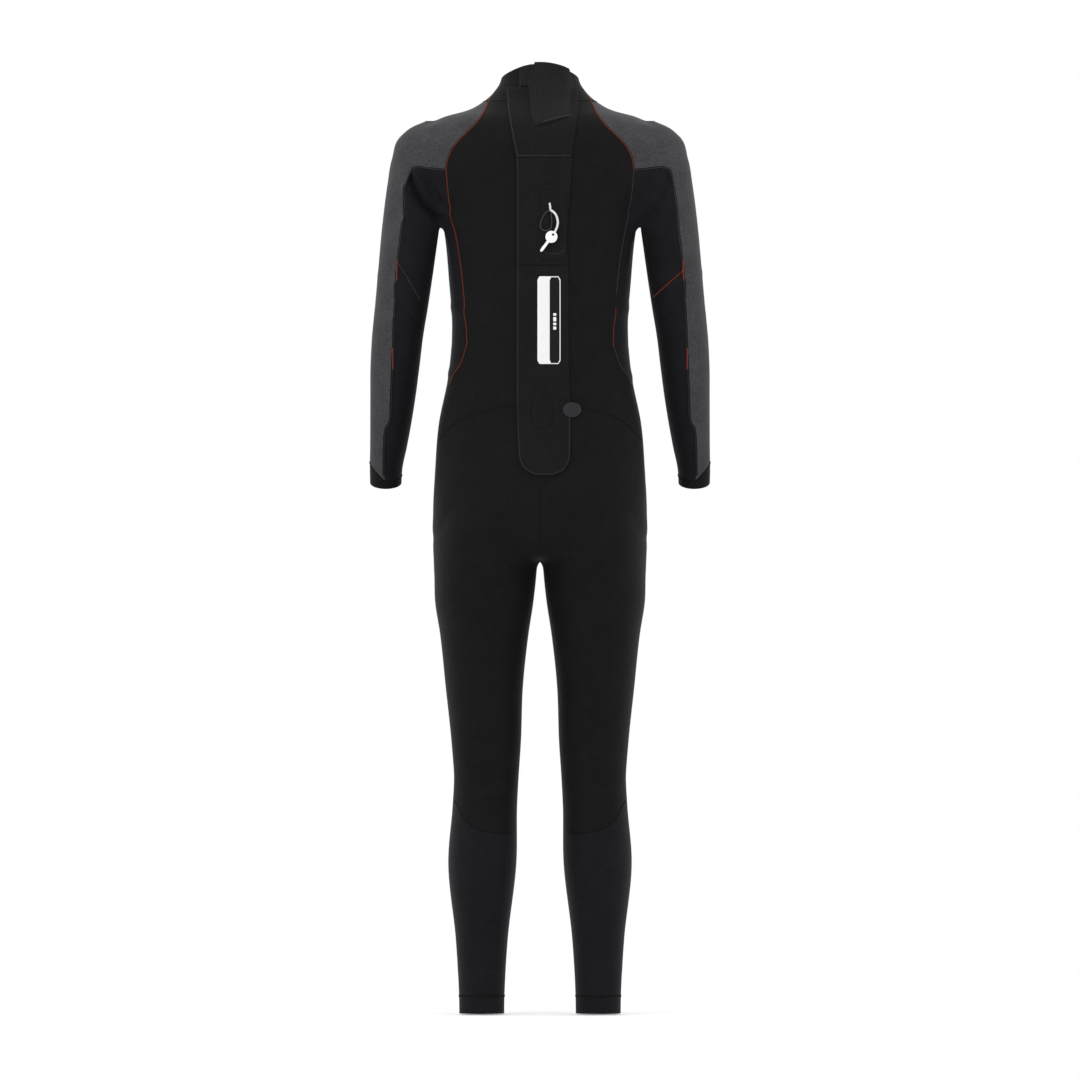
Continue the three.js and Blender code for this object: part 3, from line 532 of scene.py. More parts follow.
panel("chest_panel_cloth", chest, BLACK, "suit", ["chest_panel"])
panel("collar_band_cloth", collar, BLACK, "suit", ["collar_band"])
for side, sign in (("left", -1), ("right", 1)):
    def half(cloth):
        return split(cloth, lambda x, y, z: x * sign)[0]

    zones = {
        "sleeve": ("suit", f"{side}_sleeve", SLEEVE_RAMP),
        "forearm": (f"{side}_sleeve", f"{side}_forearm", ELBOW_RAMP),
        "thigh": ("suit", f"{side}_thigh", THIGH_RAMP), "shin": (f"{side}_thigh", f"{side}_shin", KNEE_RAMP)}
    parts = [
        ("back_panel_cloth", backs, BLACK, "suit", "black_neoprene", ["back_panel"]),
        ("side_panel_cloth", sides, BLUE_BLACK, "suit", "blue_black_neoprene", ["side_panel"]),
        ("shoulder_cloth", shoulders, GREY, zones["sleeve"], "grey_neoprene", ["shoulder_panel", "sleeve_top",
                                                                           "upper_sleeve"]),
        ("outer_sleeve_cloth", outer_arms, GREY, zones["forearm"], "grey_neoprene",
         ["elbow", "forearm_outer"]),
        ("upper_under_sleeve_cloth", under_upper, BLUE_BLACK, zones["sleeve"], "blue_black_neoprene", []),
        ("lower_under_sleeve_cloth", under_lower, BLUE_BLACK, zones["forearm"], "blue_black_neoprene",
         ["forearm_inner"]),
        ("cuff_cloth", cuffs, BLACK, f"{side}_forearm", "black_neoprene", ["cuff"]),
        ("seat_cloth", seats, BLACK, zones["thigh"], "black_neoprene",
         ["seat_panel", "thigh_top", "thigh_back"]),
        ("hip_cloth", hips, BLACK, zones["thigh"], "black_neoprene", ["front_hip_panel", "thigh_front"]),
        ("knee_back_cloth", knees, BLACK, zones["shin"], "black_neoprene", ["knee"]),
        ("calf_cloth", calves, BLUE_BLACK, zones["shin"], "blue_black_neoprene", ["calf_panel"]),
        ("shin_cloth", shins, BLACK, zones["shin"], "black_neoprene", ["shin_panel"]),
        ("ankle_hem_cloth", hems, BLUE_BLACK, f"{side}_shin", "black_neoprene", ["ankle_hem"])]
    for name, cloth, material, zone, finish, nodes in parts:
        panel(f"{side}_{name}", half(cloth), material, zone, [f"{side}_{node}" for node in nodes])


# ---- Seams ----
# Neighbouring panels are glued edge to edge and then sewn through with a flat zigzag. On this face each
# seam is a low bead of the same cloth with a fine thread zigzagging along it, orange over the shoulder
# blades, the sides and the elbows, grey or black elsewhere.

def matte(name, code, roughness, grain=900.0, depth=0.0002, sheen=0.0, coat=0.0):
    """A plain finish with a fine grain: the tone varies a little and the surface is slightly rough."""
    made, tree, shader = finish_of(name, code, roughness, sheen, 0.0, coat)
    place = add(tree, "ShaderNodeTexCoord").outputs["Object"]
    noise = add(tree, "ShaderNodeTexNoise", {"Scale": grain, "Detail": 3.0}, {"Vector": place})
    tone = add(tree, "ShaderNodeMapRange", {"From Min": 0.3, "From Max": 0.7, "To Min": 0.82, "To Max": 1.12},
               {"Value": noise.outputs["Fac"]})
    colour = add(tree, "ShaderNodeVectorMath", {0: linear(code)[:3]}, {}, operation="SCALE")
    tree.links.new(tone.outputs[0], colour.inputs["Scale"])
    tree.links.new(colour.outputs[0], shader.inputs["Base Color"])
    bump = add(tree, "ShaderNodeBump", {"Strength": 0.6, "Distance": depth}, {"Height": noise.outputs["Fac"]})
    tree.links.new(bump.outputs["Normal"], shader.inputs["Normal"])
    return made


ORANGE_THREAD = matte("orange thread", "#98402a", 0.7, 2500.0)
MAUVE_THREAD = matte("mauve thread", "#4d3f49", 0.7, 2500.0)
GREY_THREAD = matte("grey thread", "#38383b", 0.7, 2500.0)
BLACK_THREAD = matte("black thread", "#0d0d0e", 0.6, 2500.0)
STITCH = 3.0                         # one zigzag, along the seam


def spaced(line, gap):
    """Points along a line of any dimension, an equal gap apart as nearly as its length allows."""
    line = np.array(line, float)
    run = np.concatenate([[0], np.cumsum(np.linalg.norm(np.diff(line, axis=0), axis=1))])
    at = np.linspace(0, run[-1], max(int(run[-1] / gap), 2) + 1)
    return np.stack([np.interp(at, run, column) for column in line.T], 1)


def unit(v):
    """Vectors scaled to length one."""
    return v / np.maximum(np.linalg.norm(v, axis=-1, keepdims=True), 1e-9)


def sweep(path, up, outline, closed=False):
    """A closed solid carried along a path: each point of the outline, (sideways, up), is laid off from the
    path along sideways = tangent x up and along the up that is square to both. Returns points and faces."""
    ahead = np.roll(path, -1, 0) - np.roll(path, 1, 0) if closed else np.gradient(path, axis=0)
    tangent = unit(ahead)
    across = unit(np.cross(tangent, up))
    square = np.cross(across, tangent)
    rings = path[:, None] + across[:, None] * outline[None, :, :1] + square[:, None] * outline[None, :, 1:]
    n, m = len(path), len(outline)
    index = np.arange(n * m).reshape(n, m)
    ahead = np.roll(index, -1, 0) if closed else index[1:]
    behind = index if closed else index[:-1]
    faces = list(np.stack([behind, ahead, np.roll(ahead, -1, 1), np.roll(behind, -1, 1)], -1).reshape(-1, 4))
    ends = [] if closed else [index[0], index[-1][::-1]]
    return rings.reshape(-1, 3), faces + ends


def circle(radius, around=8):
    """The outline of a round cord."""
    turn = np.arange(around) * 2 * np.pi / around
    return np.stack([np.cos(turn), np.sin(turn)], 1) * radius


def joined(parts):
    """Several (points, faces) as one, with the number of the part that each face came from."""
    offsets = np.cumsum([0] + [len(points) for points, _ in parts])
    faces = [face + offset for (_, faces), offset in zip(parts, offsets) for face in faces]
    which = np.concatenate([np.full(len(faces), i) for i, (_, faces) in enumerate(parts)])
    return np.concatenate([points for points, _ in parts]), faces, which


def behind(line, lift=0.0, facing=-1):
    """Points of the cloth's outer face under a line given as (across, height) from behind, or in front
    with facing 1, raised by lift along the normal; and the normals."""
    x, z = np.array(line, float).T
    in_arm = np.abs(x) > np.interp(z, *BETWEEN.T)
    y = np.where(in_arm & (z < 1400), stations(SLEEVE, z)[1], 0.0)
    start = np.stack([x, y, z], 1)
    p = cast(start, np.tile([0.0, facing, 0.0], (len(x), 1)))
    normal, _ = out_of(p)
    return p + normal * (creases(p) + lift)[:, None], normal


def sewn(path, up, thread, swing=0.9, radius=0.28, bead=2.6, rise=0.7, cloth=BLACK, closed=False):
    """A seam along a path on the cloth: a bead of cloth, and a thread laid across it in a zigzag."""
    parts, materials = [], []
    if bead:
        turn = np.linspace(0, np.pi, 7)
        outline = np.stack([np.cos(turn) * bead, np.sin(turn) * rise - 0.25], 1)
        parts.append(sweep(path, up, outline, closed))
        materials.append(cloth)
    run = np.concatenate([[0], np.cumsum(np.linalg.norm(np.diff(path, axis=0), axis=1))])
    at = np.arange(0, run[-1], STITCH / 4)
    fine = np.stack([np.interp(at, run, column) for column in path.T], 1)
    lifted = unit(np.stack([np.interp(at, run, column) for column in up.T], 1))
    across = unit(np.cross(unit(np.gradient(fine, axis=0)), lifted))
    beat = np.array([0.0, 1.0, 0.0, -1.0])[np.arange(len(at)) % 4]
    dip = np.array([0.1, -0.25, 0.1, -0.25])[np.arange(len(at)) % 4]
    top = (rise - 0.25 if bead else 0.0) + radius * 0.5
    stitches = fine + across * (beat * swing)[:, None] + lifted * (dip + top)[:, None]
    parts.append(sweep(stitches, lifted, circle(radius, 5)))
    materials.append(thread)
    points, faces, which = joined(parts)
    return points, faces, materials, which


def seam(name, line, sign, thread, zone, finish="black_neoprene", facing=-1, lift=0.0, **looks):
    """A seam along a line seen from behind, on the side that sign gives."""
    line = spaced(np.array(line, float) * np.array([sign, 1]), 2.0)
    line = line[(np.abs(line[:, 0]) > 175) | (body(line[:, 0], 0 * line[:, 0], line[:, 1]) < -1.5)]
    path, up = behind(line, lift, facing)
    points, faces, materials, which = sewn(path, up, thread, **looks)
    return follow(put(name, points, faces, materials, which), zone)


def ring(name, centre, plane, thread, zone, finish="black_neoprene", **looks):
    """A seam right round a limb or the neck, where plane(x, y) gives its height."""
    turn = np.arange(0, 2 * np.pi, 0.04)
    way = np.stack([np.cos(turn), np.sin(turn), 0 * turn], 1)
    start = np.tile(np.array([*centre, 0.0]), (len(turn), 1))
    p = start
    for _ in range(4):
        start[:, 2] = plane(p[:, 0], p[:, 1])
        p = cast(start, way, 110)
    normal, _ = out_of(p)
    p = p + normal * creases(p)[:, None]
    points, faces, materials, which = sewn(p, normal, thread, closed=True, **looks)
    return follow(put(name, points, faces, materials, which), zone)


SIDE_STITCHES = {
    "left": [("whole", 1340, 960, ORANGE_THREAD)],
    "right": [("upper", 1340, 1123, MAUVE_THREAD), ("middle", 1123, 1045, ORANGE_THREAD),
              ("lower", 1058, 960, MAUVE_THREAD)]}
ELBOW_LINES = {
    "left": [(225, 1187), (207, 1158), (189, 1127)],
    "right": [(228, 1175), (204, 1154), (180, 1132)]}
for side, sign in (("left", -1), ("right", 1)):
    sleeve = ("suit", f"{side}_sleeve", SLEEVE_RAMP)
    forearm = (f"{side}_sleeve", f"{side}_forearm", ELBOW_RAMP)
    shin = (f"{side}_thigh", f"{side}_shin", KNEE_RAMP)
    seam(f"{side}_raglan_seam", RAGLAN, sign, ORANGE_THREAD, "suit")
    seam(f"{side}_shoulder_seam", SHOULDER_HEM, sign, MAUVE_THREAD, sleeve, swing=0.9)
    seam(f"{side}_sleeve_seam", SLEEVE_SEAM, sign, GREY_THREAD, forearm, swing=0.8)
    seam(f"{side}_front_raglan_seam", RAGLAN, sign, ORANGE_THREAD, "suit", facing=1)
    seam(f"{side}_front_shoulder_seam", SHOULDER_HEM, sign, MAUVE_THREAD, sleeve, facing=1, swing=0.9)
    seam(f"{side}_front_sleeve_seam", SLEEVE_SEAM, sign, GREY_THREAD, forearm, facing=1, swing=0.8)
    for part, high, low, thread in SIDE_STITCHES[side]:
        seam(f"{side}_side_seam_{part}", SIDE_SEAM[(SIDE_SEAM[:, 1] <= high) & (SIDE_SEAM[:, 1] >= low)],
             sign, thread,
             "suit")
    seam(f"{side}_elbow_seam", rounded(ELBOW_LINES[side]), sign, ORANGE_THREAD if sign > 0 else MAUVE_THREAD,
         sleeve,
         "blue_black_neoprene")
    for part, at in (("upper", 1174), ("lower", 1034)):
        x = np.interp(at, *np.concatenate([SHOULDER_HEM, SLEEVE_SEAM[1:]])[::-1, ::-1].T)
        seam(f"{side}_{part}_orange_stitches", [(x, at + 17), (x, at - 17)], sign, ORANGE_THREAD,
             sleeve if part == "upper" else forearm, bead=0, lift=0.55, radius=0.42, swing=0.9)
    seam(f"{side}_yoke_seam", YOKE_SEAM, sign, BLACK_THREAD, "suit")
    seam(f"{side}_front_yoke_seam", YOKE_SEAM, sign, BLACK_THREAD, "suit", facing=1)
    seam(f"{side}_calf_seam", CALF_SEAM[(CALF_SEAM[:, 0] < 137) & (CALF_SEAM[:, 0] > 39)], sign,
         BLACK_THREAD, shin)
    ring(f"{side}_cuff_seam", (sign * 245, CUFF_Y), lambda x, y: wrist(CUFF_SEAM, x, y), BLACK_THREAD,
         f"{side}_forearm")
    ring(f"{side}_ankle_seam", (sign * 92, 0), lambda x, y: HEM_SEAM + 0 * x, BLACK_THREAD, f"{side}_shin")
seam("rise_seam", [(0, 846), (0, 800), (0, 760), (0, 735)], 1, BLACK_THREAD, "suit")
seam("front_rise_seam", [(0, 962), (0, 850), (0, 780), (0, 740)], 1, BLACK_THREAD, "suit", facing=1)

# The collar's seam runs round the neck from one side of the back opening to the other.
turn = np.linspace(-np.pi / 2 + 0.22, 1.5 * np.pi - 0.22, 150)
neck = cast(np.tile([0.0, 0.0, COLLAR_SEAM], (len(turn), 1)),
            np.stack([np.cos(turn), np.sin(turn), 0 * turn], 1))
points, faces, materials, which = sewn(neck, out_of(neck)[0], BLACK_THREAD, rise=0.45)
follow(put("collar_seam", points, faces, materials, which), "suit")


# ---- The zip ----
# Two woven tapes with a moulded coil along their inner edges, a moulded slider and its puller. It opens
# the back from the waist to the collar, and the flap hides it. The coil's teeth are only ribs in the
# tapes' material here, because they can't be seen while the flap lies over them.

def zip_finish(name, code, roughness, pitch, depth):
    """Woven tape or moulded teeth: ribs across the zip, one for each pitch in metres, under a fine grain."""
    made, tree, shader = finish_of(name, code, roughness)
    place = add(tree, "ShaderNodeTexCoord").outputs["Object"]
    ribs = add(tree, "ShaderNodeTexWave", {"Scale": 1 / pitch / 3.2, "Distortion": 0.2}, {"Vector": place},
               bands_direction="Z")
    grain = add(tree, "ShaderNodeTexNoise", {"Scale": 1500.0, "Detail": 3.0}, {"Vector": place})
    high = add(tree, "ShaderNodeMath", {1: 0.7}, {0: ribs.outputs["Fac"], 2: grain.outputs["Fac"]},
               operation="MULTIPLY_ADD")
    bump = add(tree, "ShaderNodeBump", {"Strength": 0.8, "Distance": depth}, {"Height": high.outputs[0]})
    tree.links.new(bump.outputs["Normal"], shader.inputs["Normal"])
    return made


ZIP_TAPE = zip_finish("zip tape", "#101012", 0.85, 0.0014, 0.0004)
ZIP_MOULDED = zip_finish("moulded plastic", "#0c0c0d", 0.35, 0.006, 0.00004)
for node, material in (("left_zip_tape", ZIP_TAPE), ("right_zip_tape", ZIP_TAPE), ("zip_slider", ZIP_MOULDED),
                       ("zip_puller", ZIP_MOULDED)):
    bpy.data.objects[node].data.materials.clear()
    bpy.data.objects[node].data.materials.append(material)

# ---- Patches laid on the back ----
# The flap over the zip, the collar's closing tab, the key pocket, the label and the small reinforcing
# patches are all flat cuts glued or sewn onto the back, one over another.

def patch(name, low, high, left, right, lift, thick, material, columns=14, gap=6.0, edge=1.0):
    """A flat cut laid over the back: it spans left(z) to right(z) across and low(x) to high(x) up, its
    underside is lift above the cloth, and its top rises from the edge as a quarter ellipse to thick."""
    soft = np.array([0, 0.08, 0.3, 0.62, 1.0]) * edge
    tall = float(high(0.0) - low(0.0))
    rows = np.concatenate([soft, np.linspace(edge, tall - edge, max(int(tall / gap), 3))[1:-1],
                           (tall - soft)[::-1]])
    t = rows / tall
    z = low(0.0) + t * tall
    wide = float(np.mean(right(z) - left(z)))
    share = np.concatenate([soft / wide, np.linspace(edge / wide, 1 - edge / wide, columns)[1:-1],
                            1 - soft[::-1] / wide])
    t, share = np.meshgrid(t, share, indexing="ij")
    z = low(0.0) + t * tall
    x = left(z) + share * (right(z) - left(z))
    z = low(x) + t * (high(x) - low(x))
    inset = np.minimum(np.minimum(share, 1 - share) * wide, np.minimum(t, 1 - t) * tall)
    rise = thick * np.sqrt(1 - (1 - np.minimum(inset / edge, 1)) ** 2)
    under, normal = behind(np.stack([x.ravel(), z.ravel()], 1))
    under = under + normal * np.asarray(lift(x.ravel(), z.ravel()) if callable(lift) else lift).reshape(-1, 1)
    top = under + normal * rise.reshape(-1, 1)
    n, m = t.shape
    index = np.arange(n * m).reshape(n, m)
    below = index + n * m
    below[[0, -1]] = index[[0, -1]]
    below[:, [0, -1]] = index[:, [0, -1]]

    def quads(i):
        return np.stack([i[:-1, :-1], i[:-1, 1:], i[1:, 1:], i[1:, :-1]], -1).reshape(-1, 4)

    points, faces = used(np.concatenate([top, under]), np.concatenate([quads(index), quads(below)]))
    return put(name, points, faces, material)


def level_at(value):
    """A function that gives the same value everywhere."""
    return lambda at: np.asarray(at, float) * 0 + value


def between(line):
    """Across, as a function of height, from a line of (across, height)."""
    line = rounded(line)
    line = line[np.argsort(line[:, 1])]
    return lambda z: np.interp(z, line[:, 1], line[:, 0])


FLAP_BLACK = knit("flap neoprene", "#080809", "#161617", 0.025)
COLLAR_BLACK = knit("collar neoprene", "#0f0e10", "#1d1c1e", 0.03)
FLAP_LEFT = between([(-34, 882), (-36, 906), (-38, 1000), (-37, 1150), (-37, 1349), (-40, 1364),
                     (-45, 1388), (-51, 1420), (-52, 1462)])
FLAP_RIGHT = between([(48, 882), (49, 953), (45, 1000), (45, 1167), (41, 1230), (48, 1300), (50, 1349),
                      (53, 1373), (59, 1417), (60, 1462)])
FLAP_END = 849
FLAP_CORNER = 33
FLAP_SPLIT = 1180
FLAP_FOLD = 1350
FLAP_THICK = 3.0
LOWER_RAMP = ("suit", "flap", (977, 1060))
UPPER_RAMP = ("suit", "flap", (1350, 1290))


def tuck(z):
    """How far the flap's rounded lower corners draw in at a height."""
    drop = np.clip(FLAP_END + FLAP_CORNER - z, 0, FLAP_CORNER - 0.4)
    return FLAP_CORNER - np.sqrt(FLAP_CORNER ** 2 - drop ** 2)


def flap_lift(x, z):
    """The flap lies close to the back at its edges and stands a little off it along the zip."""
    ridge = step(x, -13, -11) * step(-x, -18, -8)
    return 0.35 + 1.2 * ridge * step(z, 915, 960) * step(-z, -1410, -1385)

# The zip flap is one long strip, made here in three lengths. Its left edge, round end and lower right
# edge are sewn down; the right edge above the round patch is free, and the key pocket and the label are
# on its outside.
flap_part = patch("flap_lower_part", level_at(FLAP_END), level_at(FLAP_SPLIT),
                  lambda z: FLAP_LEFT(z) + tuck(z),
                  lambda z: FLAP_RIGHT(z) - tuck(z), flap_lift, FLAP_THICK, FLAP_BLACK, 60, 4.0)
follow(flap_part, LOWER_RAMP, ["flap_base", "flap_lower_fold"])
flap_part = patch("flap_upper_part", level_at(FLAP_SPLIT), level_at(FLAP_FOLD), FLAP_LEFT, FLAP_RIGHT,
                  flap_lift,
                  FLAP_THICK, FLAP_BLACK, 60, 4.0, 0.2)
follow(flap_part, UPPER_RAMP, ["back_flap", "flap_upper_fold"])
flap_part = patch("flap_top_part", level_at(FLAP_FOLD), level_at(1462), FLAP_LEFT, FLAP_RIGHT, flap_lift,
                  FLAP_THICK,
                  FLAP_BLACK, 60, 4.0, 0.8)
follow(flap_part, "suit", ["flap_top"])


def collar_edge(x):
    """The height of the collar's top edge behind the neck, across from the middle."""
    return collar_rim(-60 * np.sqrt(1 - (np.asarray(x, float) / 63) ** 2))


follow(patch("collar_end", level_at(1463), lambda x: collar_edge(x) - 1, level_at(-32), level_at(44), 0.3,
             2.2, COLLAR_BLACK, 18, 4.0), "suit")

# The collar's closing tab wraps over the flap's top end from the right. It peels from its left edge.
TAB_LEFT = between([(-8, 1395), (-13, 1412), (-16, 1440), (-18, 1470), (-16, 1486), (-8, 1500)])
TAB_RIGHT = between([(52, 1395), (57, 1418), (56, 1440), (52, 1470), (44, 1500)])
FLAP_FACE = 3.35


def tab_lift(x, z):
    """The tab lies over the flap's end and the hook and loop pads, and comes down to the collar at its
    right end, where it grows out of it."""
    over = np.where(z < 1440, FLAP_FACE + 0.1, 3.9)
    return 0.3 + over * step(-x, -54, -30)


tab = patch("closing_tab_cloth", lambda x: 1400 + 0.27 * np.asarray(x), lambda x: collar_edge(x) + 1.2,
            TAB_LEFT, TAB_RIGHT, tab_lift, 2.4, COLLAR_BLACK, 20, 4.0)
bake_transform(tab)
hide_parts("collar_tab", "collar_tab_fold")
PAD_BLACK = matte("hook and loop", "#0c0c0d", 0.9, 1800.0, 0.0008)
for name, lift, body_name in (("hook_pad", 2.6, "suit"), ("loop_pad", 3.4, "closing_tab")):
    follow(patch(f"{name}_pile", level_at(1466), level_at(1484), level_at(-13), level_at(11), lift, 0.7,
                 PAD_BLACK, 8,
                 4.0, 0.3), body_name, [name])


def topstitch(name, line, lift, zone, thread=GREY_THREAD, swing=0.5, radius=0.34):
    """A row of stitches on a patch, lift above the cloth under it."""
    path, up = behind(spaced(line, 2.0), 0.0)
    path = path + up * np.asarray(lift(path[:, 0], path[:, 2]) if callable(lift) else lift).reshape(-1, 1)
    points, faces, materials, which = sewn(path, up, thread, swing, radius, bead=0)
    return follow(put(name, points, faces, materials, which), zone)


def on_flap(x, z):
    """The height of the flap's outer face above the back."""
    return flap_lift(x, z) + FLAP_THICK - 0.1


INSET = 2.6
edge_z = np.arange(FLAP_END + FLAP_CORNER, FLAP_SPLIT + 1, 4.0)
bend = np.linspace(np.pi, 1.5 * np.pi, 14)
turn_in = FLAP_CORNER - INSET
corner = np.stack([FLAP_LEFT(882) + FLAP_CORNER + turn_in * np.cos(bend), 882 + turn_in * np.sin(bend)], 1)
other = np.stack([FLAP_RIGHT(882) - FLAP_CORNER - turn_in * np.cos(bend), 882 + turn_in * np.sin(bend)], 1)
right_z = edge_z[edge_z < 945]
outline = np.concatenate([
    np.stack([FLAP_LEFT(edge_z) + INSET, edge_z], 1)[::-1], corner, other[::-1],
    np.stack([FLAP_RIGHT(right_z) - INSET, right_z], 1)])
topstitch("flap_lower_stitches", outline, on_flap, LOWER_RAMP)
edge_z = np.arange(FLAP_SPLIT, FLAP_FOLD + 1, 4.0)
topstitch("flap_upper_stitches", np.stack([FLAP_LEFT(edge_z) + INSET, edge_z], 1), on_flap, UPPER_RAMP)
edge_z = np.arange(FLAP_FOLD, 1462, 4.0)
topstitch("flap_top_stitches", np.stack([FLAP_LEFT(edge_z) + INSET, edge_z], 1), on_flap, "suit", swing=0.8,
          radius=0.5)
topstitch("flap_cross_stitches", [(-34, FLAP_FOLD + 3), (48, FLAP_FOLD + 3)], on_flap, "suit", radius=0.42)
path, up = behind(spaced([(5, 1404), (30, 1410.5), (54, 1417)], 2.0))
path = path + up * (tab_lift(path[:, 0], path[:, 2]) + 2.3)[:, None]
points, faces, materials, which = sewn(path, up, GREY_THREAD, 0.9, 0.55, bead=0)
tab_stitches = put("closing_tab_edge_stitches", points, faces, materials, which)
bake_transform(tab_stitches)
topstitch("collar_end_stitches", [(-29.5, 1462), (-29.5, 1478)], 3.4, "suit", swing=0.6, radius=0.45)

# A round rubber patch takes the strain where the flap's free edge ends.
PATCH_RUBBER = matte("patch rubber", "#2a2a2c", 0.55, 600.0)


def round_left(z):
    return 50 - 14.5 * np.sqrt(np.clip(1 - ((z - 953) / 12) ** 2, 0.02, 1))


def round_right(z):
    return 50 + 14.5 * np.sqrt(np.clip(1 - ((z - 953) / 12) ** 2, 0.02, 1))


follow(patch("round_patch_rubber", level_at(941), level_at(965), round_left, round_right, 3.4, 0.9,
             PATCH_RUBBER, 12, 1.5,
             0.6), "suit", ["round_patch"])

# Under the flap, the lower end of the zip is covered by a tab whose outline shows as a double seam.
for name, drop in (("inner", 0.0), ("outer", 3.4)):
    low = np.array([(-14, 961), (-13.5, 935 - drop), (-9, 927 - drop), (2, 925 - drop), (14, 927 - drop),
                    (19, 932 - drop), (20.5, 961)])
    topstitch(f"zip_end_{name}_stitches", rounded(low), on_flap, "suit", BLACK_THREAD)
follow(patch("zip_end_cloth", level_at(922), level_at(961), level_at(-15), level_at(21), 0.1, 0.25,
             FLAP_BLACK, 8, 4.0,
             0.3), "suit", ["zip_end_tab"])

# The label is a printed film: a white field to write on, and a black one in a thin white frame.
LABEL_WHITE = matte("label white", "#dededf", 0.5, 1400.0, 0.00005)
LABEL_BLACK = matte("label black", "#161617", 0.45, 1400.0, 0.00005)


def rounded_side(x, low, high, radius, sign):
    """The side of a rounded rectangle as a function of height."""
    def side(z):
        drop = np.clip(np.maximum(low + radius - z, z - high + radius), 0, radius * 0.985)
        return x - sign * (radius - np.sqrt(radius ** 2 - drop ** 2))
    return side


def label(name, x0, x1, z0, z1, radius, lift, thick, material):
    """A flat film on the flap with rounded corners, lift above its outer face."""
    return patch(name, level_at(z0), level_at(z1), rounded_side(x0, z0, z1, radius, -1),
                 rounded_side(x1, z0, z1, radius, 1), lambda x, z: on_flap(x, z) + lift, thick, material, 8,
                 5.0, 0.1)


follow(label("label_film", -4, 32, 1025, 1163, 4.0, 0.05, 0.25, LABEL_WHITE), LOWER_RAMP,
       ["name_label"])
follow(label("label_black_field", 15, 30.6, 1026.4, 1161.6, 3.0, 0.15, 0.25, LABEL_BLACK), LOWER_RAMP)
for i, (low, high) in enumerate(((1079, 1084), (1086, 1090), (1092, 1099), (1101, 1105))):
    follow(label(f"label_bar_{i}", 20.5, 25.5, low, high, 0.6, 0.25, 0.25, LABEL_WHITE), LOWER_RAMP)

# ---- Key pocket, loop and key ----
# A low pocket sewn onto the flap, open at the top, with an elastic loop and a twisted cord anchored by a
# bar tack. A spare key hangs on them in front of the pocket.


def on_pocket(x, z):
    return on_flap(x, z) + 1.5


follow(patch("key_pocket_cloth", level_at(1189), level_at(1306), rounded_side(-2, 1189, 1306, 6, -1),
             rounded_side(41, 1189, 1306, 6, 1), on_flap, 1.6, FLAP_BLACK, 12, 5.0, 0.7),
       UPPER_RAMP, ["key_pocket"])
topstitch("pocket_top_stitches", [(2, 1301), (20, 1302.5), (38, 1301)], on_pocket, UPPER_RAMP, BLACK_THREAD)
POCKET_FOOT = [(1, 1206), (10, 1200), (21, 1198), (31, 1200), (38, 1205)]
topstitch("pocket_lower_stitches", POCKET_FOOT, on_pocket, UPPER_RAMP)
topstitch("pocket_side_stitches", [(1, 1206), (0.5, 1250), (1, 1300)], on_pocket, UPPER_RAMP, BLACK_THREAD)
ELASTIC = matte("elastic", "#3c3c3f", 0.7, 3000.0)
CORD_WHITE = matte("white cord", "#d8d8d6", 0.75, 2500.0, 0.0003, 0.2)
KEY_WHITE = matte("white plastic", "#e6e6e4", 0.35, 400.0, 0.00003, 0.0, 0.2)


def strand(line, lift, radius, twist=None):
    """A cord along a line seen from behind, lift above the back; with twist, two plies round each other."""
    path, up = behind(spaced(rounded(line, 3), 0.6))
    path = path + up * lift
    if twist is None:
        return sweep(path, up, circle(radius))
    across = unit(np.cross(unit(np.gradient(path, axis=0)), up))
    turn = np.arange(len(path))[:, None] * 0.6 * 2 * np.pi / twist
    plies = [sweep(path + (across * np.cos(turn + a) + up * np.sin(turn + a)) * radius * 0.55, up,
                   circle(radius * 0.62)) for a in (0, np.pi)]
    points, faces, _ = joined(plies)
    return points, faces


TACK_LINE = [(15, 1278), (16.5, 1266)]
LOOP_LINE = [(15.5, 1268), (7, 1262), (0, 1247), (1, 1238), (8, 1234), (17, 1237), (18.5, 1248), (17.5, 1262),
             (16.5, 1268)]
follow(put("bar_tack_stitches", *strand(TACK_LINE, 6.9, 1.6, 2.2), CORD_WHITE), "flap",
       ["bar_tack"])
follow(put("elastic_loop", *strand(LOOP_LINE, 7.4, 0.9), ELASTIC), "key", ["key_loop"])


def key_cut():
    """The key's face as an outline round the origin, shank straight down: an arc of the bow, then the shank;
    turned() later turns it by -0.636 radians and sets it at (18, 1225)."""
    arc = np.linspace(-1.33, np.pi + 1.33, 30)
    bow = 9.5 * np.stack([np.cos(arc), np.sin(arc)], 1)
    shank = np.array([(-2.25, -12), (-2.25, -24), (-1.9, -27.2), (-0.9, -28.6), (0.9, -28.6), (1.9, -27.2),
                      (2.25, -24), (2.25, -12)])
    return np.concatenate([bow, shank])


def turned(points, angle=-0.636, middle=(18, 1225)):
    spin = np.array([[np.cos(angle), np.sin(angle)], [-np.sin(angle), np.cos(angle)]])
    return points @ spin + middle


